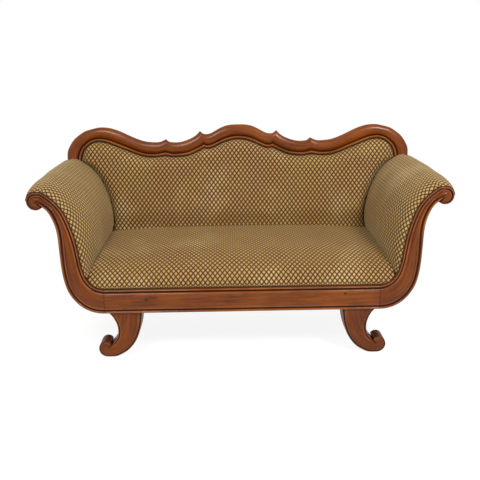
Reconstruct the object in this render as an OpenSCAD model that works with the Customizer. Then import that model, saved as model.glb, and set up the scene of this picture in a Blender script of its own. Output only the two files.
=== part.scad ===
/* [Overall] */
// Width across the two arm scrolls
settee_w = 1900; // [1600:10:2200]
// Depth from the front moulding to the back of the crest
settee_d = 750; // [690:5:850]
// Height of the middle of the crest above the floor
settee_h = 1014; // [950:2:1100]

/* [Seat frame] */
// How far each arm reaches out past the end of the front rail
arm_reach = 313; // [290:1:340]
// Height of the front rail
rail_h = 116; // [100:1:130]
// Thickness of the front rail with its moulding
rail_t = 62; // [50:1:75]
// Floor to the underside of the rails
foot_h = 224; // [190:1:255]
// Width of the inner side rails
side_rail_w = 46; // [35:1:60]
// Thickness of the battens that hold the seat webbing
batten_t = 12; // [8:1:20]
// Width of the battens
batten_w = 30; // [20:1:45]
// Leg of the triangular corner blocks
corner_leg = 74; // [50:1:100]
// Height of the corner blocks
corner_h = 58; // [40:1:70]
// Thickness of the loose tenons in the joints
tenon_t = 12; // [8:1:16]
// Length of the loose tenons, half in each piece
tenon_l = 64; // [40:1:80]

/* [Arms] */
// Drop from the middle of the crest to the top of the arm scrolls
arm_drop = 215; // [180:1:250]
// Radius of the arm scroll
scroll_r = 39.5; // [30:0.5:46]
// Thickness of the lyre-shaped arm facing
facing_t = 46; // [35:1:60]
// Thickness of the curved apron under the outside arm
apron_t = 16; // [10:1:24]
// Deepest stuffing on the inside of the arm
arm_stuffing = 68; // [40:1:80]
// Depth over which the arm stuffing rolls to the facing
arm_roll = 84; // [50:1:110]

/* [Back] */
// Backward lean of the back in degrees
back_rake = 9.65; // [4:0.05:14]
// Thickness of the back's frame and crest
crest_t = 46; // [36:1:60]
// How far the shoulders of the back stand in from the arm scrolls
shoulder_inset = 31; // [20:1:60]
// Rise of the crest from the shoulders to its middle
crest_rise = 184; // [160:1:205]
// Height of the back's bottom rail above the seat frame
back_bottom_lift = 52; // [35:1:70]
// Height of the back's bottom rail
back_bottom_h = 46; // [30:1:60]
// Width of the crest moulding
crest_w = 74; // [60:1:85]
// Forward swell of the back stuffing
back_stuffing = 36; // [20:1:55]

/* [Seat] */
// Height of the seat at its rolled front edge
seat_h = 448; // [425:1:475]
// Extra height of the seat's crown in the middle
seat_crown = 20; // [5:1:35]
// Rise of the seat from the front roll to the back
seat_rise = 12; // [0:1:20]
// Depth of the rolled front edge
seat_roll = 104; // [70:1:130]

/* [Feet] */
// Width of a front foot where it meets the rail
foot_w = 157; // [120:1:180]
// Reach of the foot scroll from the inner top corner
foot_reach = 213; // [170:1:240]
// Depth of a front foot from front to rear
foot_t = 84; // [60:1:100]
// Radius of the foot scroll
foot_scroll_r = 41; // [30:1:48]
// Setback of the foot behind the rail's front
foot_setback = 15; // [8:1:25]
// Thickness of a rear foot
rear_foot_t = 58; // [44:1:70]
// Backward splay of a rear foot
rear_splay = 88; // [40:1:100]

/* [Moulding] */
// Width of the bead beside the fabric
bead_in = 9; // [6:0.5:12]
// Width of the bead at the outer edge
bead_out = 12.5; // [8:0.5:16]
// Width of the grooves beside the beads
groove_w = 5.5; // [4:0.5:8]
// Rounded edge of the raised panel
ovolo_w = 9; // [6:0.5:12]
// Depth of the grooves behind the panel
groove_drop = 9.5; // [6:0.5:12]
// Depth of the bead tops behind the panel
bead_drop = 3; // [1:0.5:5]
// Depth of the bead sides behind the panel
bead_side_drop = 6.2; // [5:0.1:9]
// Depth of the moulding's outer corners behind the panel
edge_drop = 13; // [10:0.5:18]

/* [Upholstery] */
// Thickness of cover cloth and hessian
cloth_t = 2; // [1:0.5:3]
// Width of a webbing strap
web_w = 55; // [40:1:70]
// Largest diameter of a seat spring
spring_d = 96; // [70:1:110]
// Diameter of a seat spring's waist
spring_waist_d = 58; // [40:1:70]
// Thickness of the spring wire
wire_d = 3.5; // [2.5:0.5:5]
// Width of the braid that hides the tacked edges
gimp_w = 6; // [4:0.5:9]
// Thickness of the braid
gimp_t = 2.6; // [1.5:0.1:4]

/* [Hidden] */
// Air between soft pieces and what they touch
soft_gap = 0.3;
// Air between the cushions where they only lean together
lean_gap = 1.2;
// Air around a tenon or a screw in its hole
fit_gap = 0.2;
// Overrun of a cut past the face it leaves
over = 1;
quarter = 90;
front_y = -settee_d / 2;
seat_z = foot_h + rail_h;
half_rail = settee_w / 2 - arm_reach;
rail_l = 2 * half_rail;
arm_h = settee_h - arm_drop;
shoulder_x = settee_w / 2 - shoulder_inset;
shoulder_z = settee_h - crest_rise;
arm_rise = arm_h - foot_h;
scroll_c = [settee_w / 2 - scroll_r, arm_h - scroll_r];
crest_v = (settee_h - seat_z) / cos(back_rake);
// Depths behind the plane of the back: the fabric's edge, the stuffing's rear and the webbing
back_edge_share = .43;
back_rear_share = .53;
back_edge_y = back_edge_share * crest_t;
back_rear_y = back_rear_share * crest_t;
back_web_y = back_rear_y + soft_gap + cloth_t;
back_set = settee_d - sin(back_rake) * crest_v - cos(back_rake) * crest_t;

/* Colours */
mahogany = "#6b2e14";
beech = "#c9a26b";
cloth = "#a98a58";
jute = "#b59a6d";
steel = "#8d8f92";
braid = "#4a3420";

/* The lyre: each row is a place along the arm, as shares of the arm's reach from the rail's end
   and of the rise, from the underside of the rail (outer edge) or from its top (fabric edge). */
lyre_outer_shares = [
    [0, 0], [.08, .002], [.169, .012], [.249, .029], [.329, .055], [.406, .094], [.473, .142],
    [.524, .194], [.556, .25], [.578, .315], [.591, .383], [.597, .452], [.601, .522], [.604, .6],
    [.613, .678], [.636, .744], [.674, .802], [.722, .851], [.773, .879], [.796, .888], [.815, .9]
];
lyre_inner_shares = [
    [0, 0], [.058, .007], [.112, .02], [.16, .039], [.198, .063], [.23, .092], [.259, .126],
    [.281, .166], [.297, .209], [.313, .261], [.326, .331], [.339, .399], [.351, .464], [.371, .534],
    [.399, .61], [.435, .688], [.482, .773], [.543, .845], [.613, .904], [.664, .937], [.719, .967]
];
// Stuffing along the arm from the seat to the scroll, as shares of the deepest
arm_stuffing_shares = [.3, .45, .6, .74, .93, 1, 1.02, 1.03, 1.03, 1, .96, .93, .95, .95, .92];
// Stuffing around the scroll from its top to its underside, as shares of the deepest
scroll_stuffing_shares = [.85, .82, .76, .64, .5, .33, .18, .1, .06, .05, .05, .05, .05];
last_outer = len(lyre_outer_shares) - 1;
last_inner = len(lyre_inner_shares) - 1;
stuffed_start_place = 6;
scroll_start = 128;
scroll_step = 16;

function lyre_outer(i) = [
    half_rail + lyre_outer_shares[i][0] * arm_reach,
    foot_h + lyre_outer_shares[i][1] * arm_rise
];
function lyre_inner(i) = [
    half_rail + lyre_inner_shares[i][0] * arm_reach,
    seat_z + lyre_inner_shares[i][1] * (arm_h - seat_z)
];
function polar(c, r, a) = c + r * [cos(a), sin(a)];
// The scroll swells a little where the arm runs into it
swell_share = .2;
swell_end = 95;
function scroll_swell(a) = swell_share * pow(max(0, (a - swell_end) / (scroll_start - swell_end)), 2);
function scroll_edge(a) = polar(scroll_c, scroll_r * (1 + scroll_swell(a)), a);
eye_share = [-.14, -.24];
eye_r_share = .2;
function scroll_eye(a) = polar(scroll_c + eye_share * scroll_r, eye_r_share * scroll_r, a);
scroll_turn = 256;
scroll_angles = [for (a = [0 : scroll_step : scroll_turn]) scroll_start - a];
arm_edges = concat(
    [for (i = [0 : last_inner]) [lyre_inner(i), lyre_outer(i)]],
    [for (a = scroll_angles) [scroll_edge(a), scroll_eye(a)]]
);

/* The moulding across a strip of width w: distances from the fabric edge and depths behind the panel. */
function moulding(w, deep) =
    let (
        full = bead_in + bead_out + 2 * groove_w + 3 * ovolo_w,
        k = min(1, w / full),
        bi = bead_in * k,
        bo = bead_out * k,
        g = groove_w * k,
        o = ovolo_w * k,
        middle = (w + bi - bo) / 2,
        rim_share = .12,
        ovolo_share = .25,
        panel_drop_share = .085
    ) [
        [0, edge_drop * k],
        [rim_share * bi, bead_side_drop * k],
        [bi / 2, bead_drop * k],
        [(1 - rim_share) * bi, bead_side_drop * k],
        [bi + rim_share * g, groove_drop * k],
        [bi + g, groove_drop * k],
        [bi + g + ovolo_share * o, bead_drop * k],
        [bi + g + o, panel_drop_share * groove_drop * k],
        [middle, 0],
        [w - bo - g - o, panel_drop_share * groove_drop * k],
        [w - bo - g - ovolo_share * o, bead_drop * k],
        [w - bo - g, groove_drop * k],
        [w - bo - rim_share * g, groove_drop * k],
        [w - (1 - rim_share) * bo, bead_side_drop * k],
        [w - bo / 2, bead_drop * k],
        [w - rim_share * bo, bead_side_drop * k],
        [w, edge_drop * k],
        [w, deep],
        [0, deep]
    ];

// One ring of a moulded strip between the plan points a (fabric edge) and b (outer edge)
function strip_ring(a, b, deep) =
    let (w = norm(b - a), dir = (b - a) / w)
    [for (p = moulding(w, deep)) [a[0] + dir[0] * p[0], p[1], a[1] + dir[1] * p[0]]];

/* A mortise in an end ring: [width, depth of its middle, the vector to its floor]. Its points are a row
   under the moulding, the mouth's four corners and the floor's four. */
function mortise_points(ring, m) =
    let (
        n = len(ring),
        near = ring[n - 1],
        far = ring[n - 2],
        run = (far - near) / norm(far - near),
        middle = [near[0] + far[0], 0, near[2] + far[2]] / 2,
        half_w = (m[0] + 2 * fit_gap) / 2,
        half_t = (tenon_t + 2 * fit_gap) / 2,
        mouth = [for (c = [[-1, -1], [1, -1], [1, 1], [-1, 1]])
            middle + c[0] * half_w * run + [0, m[1] + c[1] * half_t, 0]]
    ) concat(
        [for (i = [1 : n - 4]) [ring[i][0], ring[0][1] + over, ring[i][2]]],
        mouth,
        [for (p = mouth) p + m[2]]
    );
// The faces of an end with a mortise: r is the ring's first point, e the first extra point
function mortise_faces(n, r, e) =
    let (
        last = n - 3,
        low = concat([r], [for (i = [0 : last - 2]) e + i], [r + last]),
        c = e + last - 1,
        f = c + 4,
        half = floor(last / 2)
    ) concat(
        [[r + 1, r, e], [r + last, r + last - 1, e + last - 2]],
        [for (i = [1 : last - 2]) each [[r + i + 1, r + i, low[i]], [r + i + 1, low[i], low[i + 1]]]],
        [for (i = [0 : last - 1]) [low[i + 1], low[i], i < half ? c : c + 1]],
        [[low[half], c, c + 1], [r + n - 2, r + last, c + 1], [r + n - 2, c + 1, c + 2]],
        [[r + n - 1, r + n - 2, c + 2], [r + n - 1, c + 2, c + 3], [r, r + n - 1, c + 3], [r, c + 3, c]],
        [for (i = [0 : 3]) let (k = (i + 1) % 4) each [[c + k, c + i, f + i], [c + k, f + i, f + k]]],
        [[f + 3, f + 2, f + 1, f]]
    );
function reversed(faces) = [for (f = faces) [for (i = [len(f) - 1 : -1 : 0]) f[i]]];

// The cap of a long thin ring whose two halves run side by side
function strip_faces(n, r) = [
    for (i = [0 : n / 2 - 2])
        each [[r + i + 1, r + i, r + n - 1 - i], [r + i + 1, r + n - 1 - i, r + n - 2 - i]]
];

// A closed solid through rings of equal length, with a mortise, a strip or a plain cap at each end
module loft(rings, turned = false, first = undef, last = undef, strip = false) {
    n = len(rings[0]);
    m = len(rings);
    extra_first = is_undef(first) ? [] : mortise_points(rings[0], first);
    extra_last = is_undef(last) ? [] : mortise_points(rings[m - 1], last);
    sides = [
        for (j = [0 : m - 2])
            for (i = [0 : n - 1])
                let (a = j * n + i, b = j * n + (i + 1) % n)
                each [[a, b, b + n], [a, b + n, a + n]]
    ];
    end_first = strip ? strip_faces(n, 0)
        : is_undef(first) ? [[for (i = [n - 1 : -1 : 0]) i]]
        : mortise_faces(n, 0, m * n);
    end_last = strip ? reversed(strip_faces(n, (m - 1) * n))
        : is_undef(last) ? [[for (i = [0 : n - 1]) (m - 1) * n + i]]
        : reversed(mortise_faces(n, (m - 1) * n, m * n + len(extra_first)));
    all = concat(sides, end_first, end_last);
    polyhedron(
        points = concat([for (r = rings) each r], extra_first, extra_last),
        faces = turned ? reversed(all) : all,
        convexity = 8
    );
}

/* The back leans about a line at the height of the rails; everything on it is drawn upright. */
module lean() translate([0, front_y + back_set, seat_z]) rotate([-back_rake, 0, 0]) children();
function lean_v(z) = (z - seat_z) / cos(back_rake);
function back_y(z) = front_y + back_set + tan(back_rake) * (z - seat_z);
// Everything behind the plane of the back, set forward by some air
module behind_back(air) {
    reach = settee_h + settee_w;
    lean() translate([-reach, -air, -reach]) cube([2 * reach, reach, 2 * reach]);
}
// Everything below the underside of the rails
module below_rails() {
    reach = settee_h + settee_w;
    translate([-reach, -reach, foot_h - 2 * reach]) cube(2 * reach);
}
module both(right) {
    if (right) children();
    else mirror([1, 0, 0]) children();
}
// An upright plate cut to an outline seen from the front, between two depths
module plate(y0, y1, outline) {
    translate([0, y1, 0]) rotate([90, 0, 0]) linear_extrude(y1 - y0) polygon(outline);
}
// A loose tenon across or along a joint, w wide; its mortise is the same with some air
module tenon_x(x, y, z, w, air = 0) translate([x, y, z])
    cube([tenon_l + 2 * air, tenon_t + 2 * air, w + 2 * air], center = true);
module tenon_z(x, y, z, w, air = 0) translate([x, y, z])
    cube([w + 2 * air, tenon_t + 2 * air, tenon_l + 2 * air], center = true);

/* Where the tenons sit */
rail_tenon_w = rail_h / 2;
rail_tenon_y = front_y + edge_drop + (facing_t - edge_drop) / 2;
foot_tenon_w = foot_w / 2;
foot_tenon_y = front_y + foot_setback + (rail_t - foot_setback) / 2;
rear_foot_x = half_rail - rear_foot_t / 2;
rear_foot_tenon_y = back_y(foot_h) + crest_t / 2;

/* Seat frame */
module front_rail() color(mahogany) difference() {
    translate([-half_rail, front_y, seat_z]) rotate([0, 90, 0])
        linear_extrude(rail_l) polygon(moulding(rail_h, rail_t));
    for (s = [-1, 1]) {
        tenon_x(s * half_rail, rail_tenon_y, seat_z - rail_h / 2, rail_tenon_w, fit_gap);
        tenon_z(s * foot_tenon_x, foot_tenon_y, foot_h, foot_tenon_w, fit_gap);
    }
}
module rear_rail() color(beech) difference() {
    lean() translate([-half_rail, 0, lean_v(foot_h)])
        cube([rail_l, crest_t, lean_v(seat_z) - lean_v(foot_h)]);
    below_rails();
    for (s = [-1, 1]) tenon_z(s * rear_foot_x, rear_foot_tenon_y, foot_h, rear_foot_t / 2, fit_gap);
}
side_rail_h = rail_h - batten_t;
module side_rail(right) color(beech) both(right) difference() {
    translate([half_rail, front_y + facing_t, foot_h + batten_t])
        cube([side_rail_w, settee_d, side_rail_h]);
    behind_back(0);
}
module side_rail_left() side_rail(false);
module side_rail_right() side_rail(true);

// The lyre's outer edge drawn in by some thickness, from place a to place b
function inward(i, t) =
    let (
        p = lyre_outer(max(0, i - 1)),
        q = lyre_outer(min(last_outer, i + 1)),
        d = (q - p) / norm(q - p)
    ) lyre_outer(i) + t * [-d[1], d[0]];
apron_start_place = 1;
apron_end_place = 8;
module side_apron(right) color(mahogany) both(right) difference() {
    plate(front_y + facing_t, front_y + settee_d, concat(
        [for (i = [apron_start_place : apron_end_place]) inward(i, cloth_t)],
        [for (i = [apron_end_place : -1 : apron_start_place]) inward(i, cloth_t + apron_t)]
    ));
    translate([half_rail - over, front_y, foot_h + batten_t - soft_gap])
        cube([side_rail_w + over + soft_gap, settee_d, rail_h]);
    behind_back(0);
}
module side_apron_left() side_apron(false);
module side_apron_right() side_apron(true);

// A tacking rail on the apron's top, where the outside cloth and the hessian end
module arm_base_rail(right) color(beech) both(right) difference() {
    plate(front_y + facing_t, front_y + settee_d, [
        inward(apron_end_place, cloth_t),
        inward(apron_end_place + 1, cloth_t),
        inward(apron_end_place + 1, cloth_t + 2 * apron_t),
        inward(apron_end_place, cloth_t + 2 * apron_t)
    ]);
    behind_back(0);
}
module arm_base_rail_left() arm_base_rail(false);
module arm_base_rail_right() arm_base_rail(true);

seat_inside_d = back_y(foot_h) - front_y - rail_t;
module webbing_battens() color(beech) {
    difference() {
        translate([-half_rail, back_y(foot_h) - batten_w, foot_h])
            cube([rail_l, batten_w + crest_t, batten_t]);
        behind_back(0);
    }
    translate([-half_rail, front_y + rail_t, foot_h]) cube([rail_l, batten_w, batten_t]);
    for (s = [-1, 1])
        translate([s * (half_rail - batten_w / 2) - batten_w / 2, front_y + rail_t + batten_w, foot_h])
            cube([batten_w, seat_inside_d - 2 * batten_w, batten_t]);
}
seat_brace_w = 70;
module seat_brace() color(beech)
    translate([-seat_brace_w / 2, front_y + rail_t + batten_w, foot_h])
        cube([seat_brace_w, seat_inside_d - 2 * batten_w, batten_t]);

// The corner blocks rest in the frame's corners above the webbing
corner_z = seat_z - corner_h - cloth_t;
screw_head_d = 9;
screw_head_h = 3;
screw_d = 4.5;
module corner_block_shape() linear_extrude(corner_h) polygon([[0, 0], [corner_leg, 0], [0, corner_leg]]);
module at_corners() {
    for (s = [0, 1]) mirror([s, 0, 0]) {
        translate([half_rail, front_y + rail_t, corner_z]) rotate([0, 0, 90]) children();
        translate([half_rail, back_y(corner_z), corner_z]) rotate([0, 0, 180]) children();
    }
}
// Across the block's slant, square to it, at one height
module corner_screw_axis(z) translate([corner_leg / 2, corner_leg / 2, z]) rotate([0, -90, 45]) children();
screw_height_shares = [.3, .7];
screw_length_share = .35;
corner_screw_z = screw_height_shares * corner_h;
screw_show = screw_length_share * corner_leg;
module corner_blocks() color(beech) at_corners() difference() {
    corner_block_shape();
    for (z = corner_screw_z) corner_screw_axis(z) {
        translate([0, 0, -over]) cylinder(d = screw_d + 2 * fit_gap, h = screw_show + 2 * over, $fn = 24);
    }
}
module corner_screws() color(steel) at_corners() for (z = corner_screw_z) corner_screw_axis(z) {
    cylinder(d = screw_d, h = screw_show, $fn = 24);
    translate([0, 0, -screw_head_h]) cylinder(d = screw_head_d, h = screw_head_h, $fn = 24);
}

/* Front feet: a curved bracket that rolls into a scroll, with the arm's moulding on its face.
   Shares of the foot's width and height, from its inner top corner. */
foot_inner_shares = [
    [0, 1], [.019, .888], [.045, .785], [.076, .682], [.127, .57], [.191, .453], [.28, .336],
    [.395, .224], [.535, .131], [.7, .056], [.87, 0]
];
foot_outer_shares = [
    [1, 1], [.904, .925], [.828, .832], [.777, .738], [.752, .645], [.752, .551], [.771, .477],
    [.803, .42], [.847, .374], [.9, .327], [.935, .29]
];
foot_x = half_rail - foot_w - bead_out;
foot_tenon_x = foot_x + foot_w / 2;
foot_scroll_c = [foot_x + foot_reach - foot_scroll_r, foot_scroll_r];
foot_eye_share = [-.2, .22];
foot_eye_r_share = .22;
foot_close_share = .3;
foot_scroll_step = 20;
foot_scroll_turn = 220;
foot_close_start = 100;
foot_close_curve = 1.2;
// The scroll draws in as it turns back over itself; the angle is from its lowest point
function foot_close(a) =
    pow(max(0, (a - foot_close_start) / (foot_scroll_turn - foot_close_start)), foot_close_curve);
function foot_scroll(a) =
    polar(foot_scroll_c, foot_scroll_r * (1 - foot_close_share * foot_close(a)), a - quarter);
function foot_eye(a) =
    polar(foot_scroll_c + foot_eye_share * foot_scroll_r, foot_eye_r_share * foot_scroll_r, a - quarter);
foot_edges = concat(
    [for (i = [0 : len(foot_inner_shares) - 1]) [
        [foot_x + foot_inner_shares[i][0] * foot_w, foot_inner_shares[i][1] * foot_h],
        [foot_x + foot_outer_shares[i][0] * foot_w, foot_outer_shares[i][1] * foot_h]
    ]],
    [for (a = [0 : foot_scroll_step : foot_scroll_turn]) [foot_scroll(a), foot_eye(a)]]
);
module front_foot(right) color(mahogany) both(right) translate([0, front_y + foot_setback, 0]) loft(
    [for (e = foot_edges) strip_ring(e[0], e[1], foot_t)],
    first = [foot_tenon_w, foot_tenon_y - front_y - foot_setback, [0, 0, -tenon_l / 2 - fit_gap]]
);
module front_foot_left() front_foot(false);
module front_foot_right() front_foot(true);

// A rear foot sweeps back in a gentle curve: shares of its height and splay, front edge then rear edge
rear_foot_front_shares = [[1, 0], [.8, .04], [.6, .13], [.4, .28], [.2, .49], [0, .76]];
rear_foot_rear_shares = [[0, .88], [.2, .62], [.4, .39], [.6, .21], [.8, .08], [1, 0]];
module rear_foot(right) color(mahogany) both(right) difference() {
    translate([rear_foot_x - rear_foot_t / 2, 0, 0]) rotate([90, 0, 90])
        linear_extrude(rear_foot_t) polygon(concat(
            [for (p = rear_foot_front_shares) [back_y(foot_h) + p[1] * rear_splay, p[0] * foot_h]],
            [for (p = rear_foot_rear_shares)
                [back_y(foot_h) + crest_t + p[1] * rear_splay, p[0] * foot_h]]
        ));
    tenon_z(rear_foot_x, rear_foot_tenon_y, foot_h, rear_foot_t / 2, fit_gap);
}
module rear_foot_left() rear_foot(false);
module rear_foot_right() rear_foot(true);

module foot_tenons() color(beech) for (s = [-1, 1]) {
    tenon_z(s * foot_tenon_x, foot_tenon_y, foot_h, foot_tenon_w);
    tenon_z(s * rear_foot_x, rear_foot_tenon_y, foot_h, rear_foot_t / 2);
}
module rail_tenons() color(beech) for (s = [-1, 1])
    tenon_x(s * half_rail, rail_tenon_y, seat_z - rail_h / 2, rail_tenon_w);

/* Arms */
module arm_facing(right) color(mahogany) both(right) translate([0, front_y, 0]) loft(
    [for (e = arm_edges) strip_ring(e[0], e[1], facing_t)], true,
    first = [rail_tenon_w, rail_tenon_y - front_y, [tenon_l / 2 + fit_gap, 0, 0]]
);
module arm_facing_left() arm_facing(false);
module arm_facing_right() arm_facing(true);

// The round pole behind the scroll, or the space it needs with some air
module pole_shape(air = 0) translate([scroll_c[0], front_y + facing_t, scroll_c[1]]) rotate([-quarter, 0, 0])
    cylinder(r = scroll_r + air, h = settee_d, $fn = 64);
module arm_pole(right) color(beech) both(right) difference() {
    pole_shape();
    behind_back(0);
}
module arm_pole_left() arm_pole(false);
module arm_pole_right() arm_pole(true);

/* Back frame: stiles with the lyre's outline and scroll, a bottom rail and the crest */
crest_top_v = lean_v(shoulder_z);
stile_w_share = .98;
stile_w = stile_w_share * crest_w;
stile_scroll_angles = [for (a = [-120 : 15 : 45]) a];
function leaned(p) = [p[0], lean_v(p[1])];
stile_outline = concat(
    [for (i = [0 : last_outer]) leaned(lyre_outer(i))],
    [for (a = stile_scroll_angles) leaned(polar(scroll_c, scroll_r, a))],
    [[shoulder_x, crest_top_v], [shoulder_x - crest_w, crest_top_v]],
    [for (i = [last_outer - 3 : -1 : 2]) leaned(inward(i, stile_w))],
    [[half_rail, lean_v(seat_z)], [half_rail, lean_v(foot_h)]]
);
module back_stile(right) color(mahogany) both(right) difference() {
    lean() plate(0, crest_t, stile_outline);
    below_rails();
    lean() tenon_z(crest_tenon_x, crest_tenon_y, crest_top_v, crest_tenon_w, fit_gap);
}
module back_stile_left() back_stile(false);
module back_stile_right() back_stile(true);

back_bottom_z = seat_z + back_bottom_lift;
function stile_inner_x(z) =
    lookup(z, [for (i = [2 : last_outer - 3]) let (p = inward(i, stile_w)) [p[1], p[0]]]);
module back_bottom_rail() color(beech) lean() plate(back_web_y + 2 * cloth_t, crest_t, [
    for (s = [-1, 1])
        for (k = s < 0 ? [0, 1] : [1, 0])
            [s * stile_inner_x(back_bottom_z + k * back_bottom_h), lean_v(back_bottom_z + k * back_bottom_h)]
]);

/* The crest: half of its outer and fabric edges from the middle to the shoulder, as shares of the
   shoulder's half width and of the rise from shoulder to top. The cusps stand at two of the places. */
crest_outer_shares = [
    [0, 1], [.049, .99], [.085, .946], [.118, .87], [.147, .79], [.169, .745], [.187, .733], [.205, .75],
    [.223, .826], [.241, .728], [.261, .658], [.285, .598], [.316, .545], [.35, .512], [.381, .512],
    [.405, .535], [.422, .603], [.44, .558], [.462, .523], [.5, .523], [.539, .545], [.577, .598],
    [.615, .674], [.653, .761], [.696, .859], [.74, .93], [.775, .957], [.811, .957], [.847, .92],
    [.888, .864], [.917, .784], [.947, .674], [.969, .555], [.988, .4], [.998, .27], [1, .13], [1, 0]
];
crest_inner_shares = [
    [0, .6], [.038, .578], [.072, .534], [.103, .47], [.133, .4], [.16, .348], [.18, .336], [.19, .344],
    [.196, .361], [.207, .334], [.225, .29], [.254, .225], [.285, .16], [.316, .127], [.354, .108],
    [.386, .11], [.429, .146], [.458, .124], [.479, .11], [.506, .108], [.539, .12], [.571, .158],
    [.605, .217], [.642, .293], [.683, .37], [.729, .462], [.767, .533], [.804, .565], [.836, .555],
    [.863, .5], [.879, .435], [.893, .37], [.904, .3], [.912, .207], [.917, .125], [.92, .05], [.9215, 0]
];
crest_half = [
    for (i = [0 : len(crest_outer_shares) - 1])
        let (a = crest_inner_shares[i], b = crest_outer_shares[i]) [
            leaned([shoulder_x + (a[0] - 1) * shoulder_x, shoulder_z + a[1] * crest_rise]),
            leaned([shoulder_x + (b[0] - 1) * shoulder_x, shoulder_z + b[1] * crest_rise])
        ]
];
crest_edges = concat(
    [for (i = [len(crest_half) - 1 : -1 : 1]) [for (p = crest_half[i]) [-p[0], p[1]]]],
    crest_half
);
/* Across the crest, as shares of its width and of the roll's drop: a bead beside the fabric, a groove
   and one fat roll */
crest_section_shares = [
    [0, 1], [.03, .6], [.1, .42], [.18, .55], [.22, .95], [.27, .72], [.32, .28], [.41, .08], [.53, 0],
    [.67, .02], [.8, .16], [.9, .42], [.97, .75], [1, 1]
];
crest_roll_drop = 20;
function crest_section(w) = concat(
    [for (p = crest_section_shares) [p[0] * w, p[1] * crest_roll_drop]],
    [[w, crest_t], [0, crest_t]]
);
function crest_ring(a, b) =
    let (w = norm(b - a), dir = (b - a) / w)
    [for (p = crest_section(w)) [a[0] + dir[0] * p[0], p[1], a[1] + dir[1] * p[0]]];
crest_last = len(crest_half) - 1;
crest_tenon_w = crest_w / 3;
crest_tenon_y = (crest_roll_drop + crest_t) / 2;
crest_tenon_x = (crest_half[crest_last][0][0] + shoulder_x) / 2;
crest_mortise = [crest_tenon_w, crest_tenon_y, [0, 0, tenon_l / 2 + fit_gap]];
module crest_rail() color(mahogany) lean()
    loft([for (e = crest_edges) crest_ring(e[0], e[1])], first = crest_mortise, last = crest_mortise);
module crest_tenons() color(beech) for (s = [-1, 1])
    lean() tenon_z(s * crest_tenon_x, crest_tenon_y, crest_top_v, crest_tenon_w);

/* Upholstery. The arm's stuffing follows the fabric edge of the lyre and wraps the scroll. */
function roll(t) = sqrt(1 - pow(1 - min(1, max(0, t)), 2));
cushion_front_y = front_y + edge_drop + gimp_w + soft_gap;
scroll_wraps = len(scroll_stuffing_shares) - 1;
arm_path = concat(
    [for (i = [0 : last_inner]) lyre_inner(i)],
    [for (k = [0 : scroll_wraps]) scroll_edge(scroll_angles[k])]
);
function path_normal(i) =
    let (
        p = arm_path[max(0, i - 1)],
        q = arm_path[min(len(arm_path) - 1, i + 1)],
        d = (q - p) / norm(q - p)
    ) [-d[1], d[0]];
function off_path(i, t) = arm_path[i] + t * path_normal(i);
stuffed = concat(arm_stuffing_shares, scroll_stuffing_shares);
last_path = len(arm_path) - 1;
// The cloth over the stuffing at place i, where the roll at the front is up by share f
function arm_face(i, f) =
    off_path(i, soft_gap + cloth_t + f * stuffed[i - stuffed_start_place] * arm_stuffing);
// Steps along the front roll, as shares of its depth, and on to the back
front_roll_shares = [0, .03, .1, .21, .36, .55, .77, 1];
arm_rest_shares = [.35, .7, 1];
module arm_cushion(right) color(cloth) both(right) {
    rings = concat(
        [for (t = front_roll_shares) concat(
            [for (i = [stuffed_start_place : last_path])
                let (p = arm_face(i, roll(t))) [p[0], cushion_front_y + t * arm_roll, p[1]]],
            [for (i = [last_path : -1 : stuffed_start_place])
                let (p = off_path(i, soft_gap)) [p[0], cushion_front_y + t * arm_roll, p[1]]]
        )],
        [for (s = arm_rest_shares) concat(
            [for (i = [stuffed_start_place : last_path]) rest_point(arm_face(i, 1), s)],
            [for (i = [last_path : -1 : stuffed_start_place]) rest_point(off_path(i, soft_gap), s)]
        )]
    );
    loft(rings, true, strip = true);
}
function rest_point(p, s) =
    let (y = cushion_front_y + arm_roll)
    [p[0], y + s * (back_y(p[1]) - soft_gap / cos(back_rake) - y), p[1]];
module arm_cushion_left() arm_cushion(false);
module arm_cushion_right() arm_cushion(true);

// Sheets that follow the arm: cloth under the stuffing, straps under the cloth, cloth outside
hessian_end = len(lyre_inner_shares) + 1;
module arm_sheet(first, last, near, far, y0, y1) plate(y0, y1, concat(
    [for (i = [first : last]) off_path(i, -near)],
    [for (i = [last : -1 : first]) off_path(i, -far)]
));
module arm_hessian(right) color(jute) both(right) difference() {
    arm_sheet(1, hessian_end, 0, cloth_t, front_y + facing_t, front_y + settee_d);
    behind_back(0);
}
module arm_hessian_left() arm_hessian(false);
module arm_hessian_right() arm_hessian(true);
arm_straps = 4;
module arm_webbing(right) color(jute) both(right) for (k = [0 : arm_straps - 1]) {
    y = front_y + facing_t + (back_y(seat_z) - front_y - facing_t) * (k + .5) / arm_straps;
    arm_sheet(2, hessian_end - 1, cloth_t, 2 * cloth_t, y - web_w / 2, y + web_w / 2);
}
module arm_webbing_left() arm_webbing(false);
module arm_webbing_right() arm_webbing(true);
outside_end_place = 18;
module outside_arm(right) color(cloth) both(right) difference() {
    plate(front_y + facing_t, front_y + settee_d, concat(
        [for (i = [apron_end_place : outside_end_place]) inward(i, 0)],
        [for (i = [outside_end_place : -1 : apron_end_place]) inward(i, cloth_t)]
    ));
    pole_shape(soft_gap);
    behind_back(0);
}
module outside_arm_left() outside_arm(false);
module outside_arm_right() outside_arm(true);

/* How far a cushion between the arms reaches sideways at height z, by the facing and the arm's stuffing */
function facing_x(z) = lookup(z, [for (i = [0 : stuffed_start_place]) [arm_path[i][1], arm_path[i][0]]]);
function stuffing_x(z, f) = lookup(z, [
    for (i = [stuffed_start_place : len(lyre_inner_shares) + 1]) [arm_face(i, f)[1], arm_face(i, f)[0]]
]);
function side_x(z, f) =
    let (leaning = stuffing_x(z, f) - lean_gap)
    z < arm_path[stuffed_start_place][1] ? min(facing_x(z) - soft_gap, leaning) : leaning;

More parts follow.
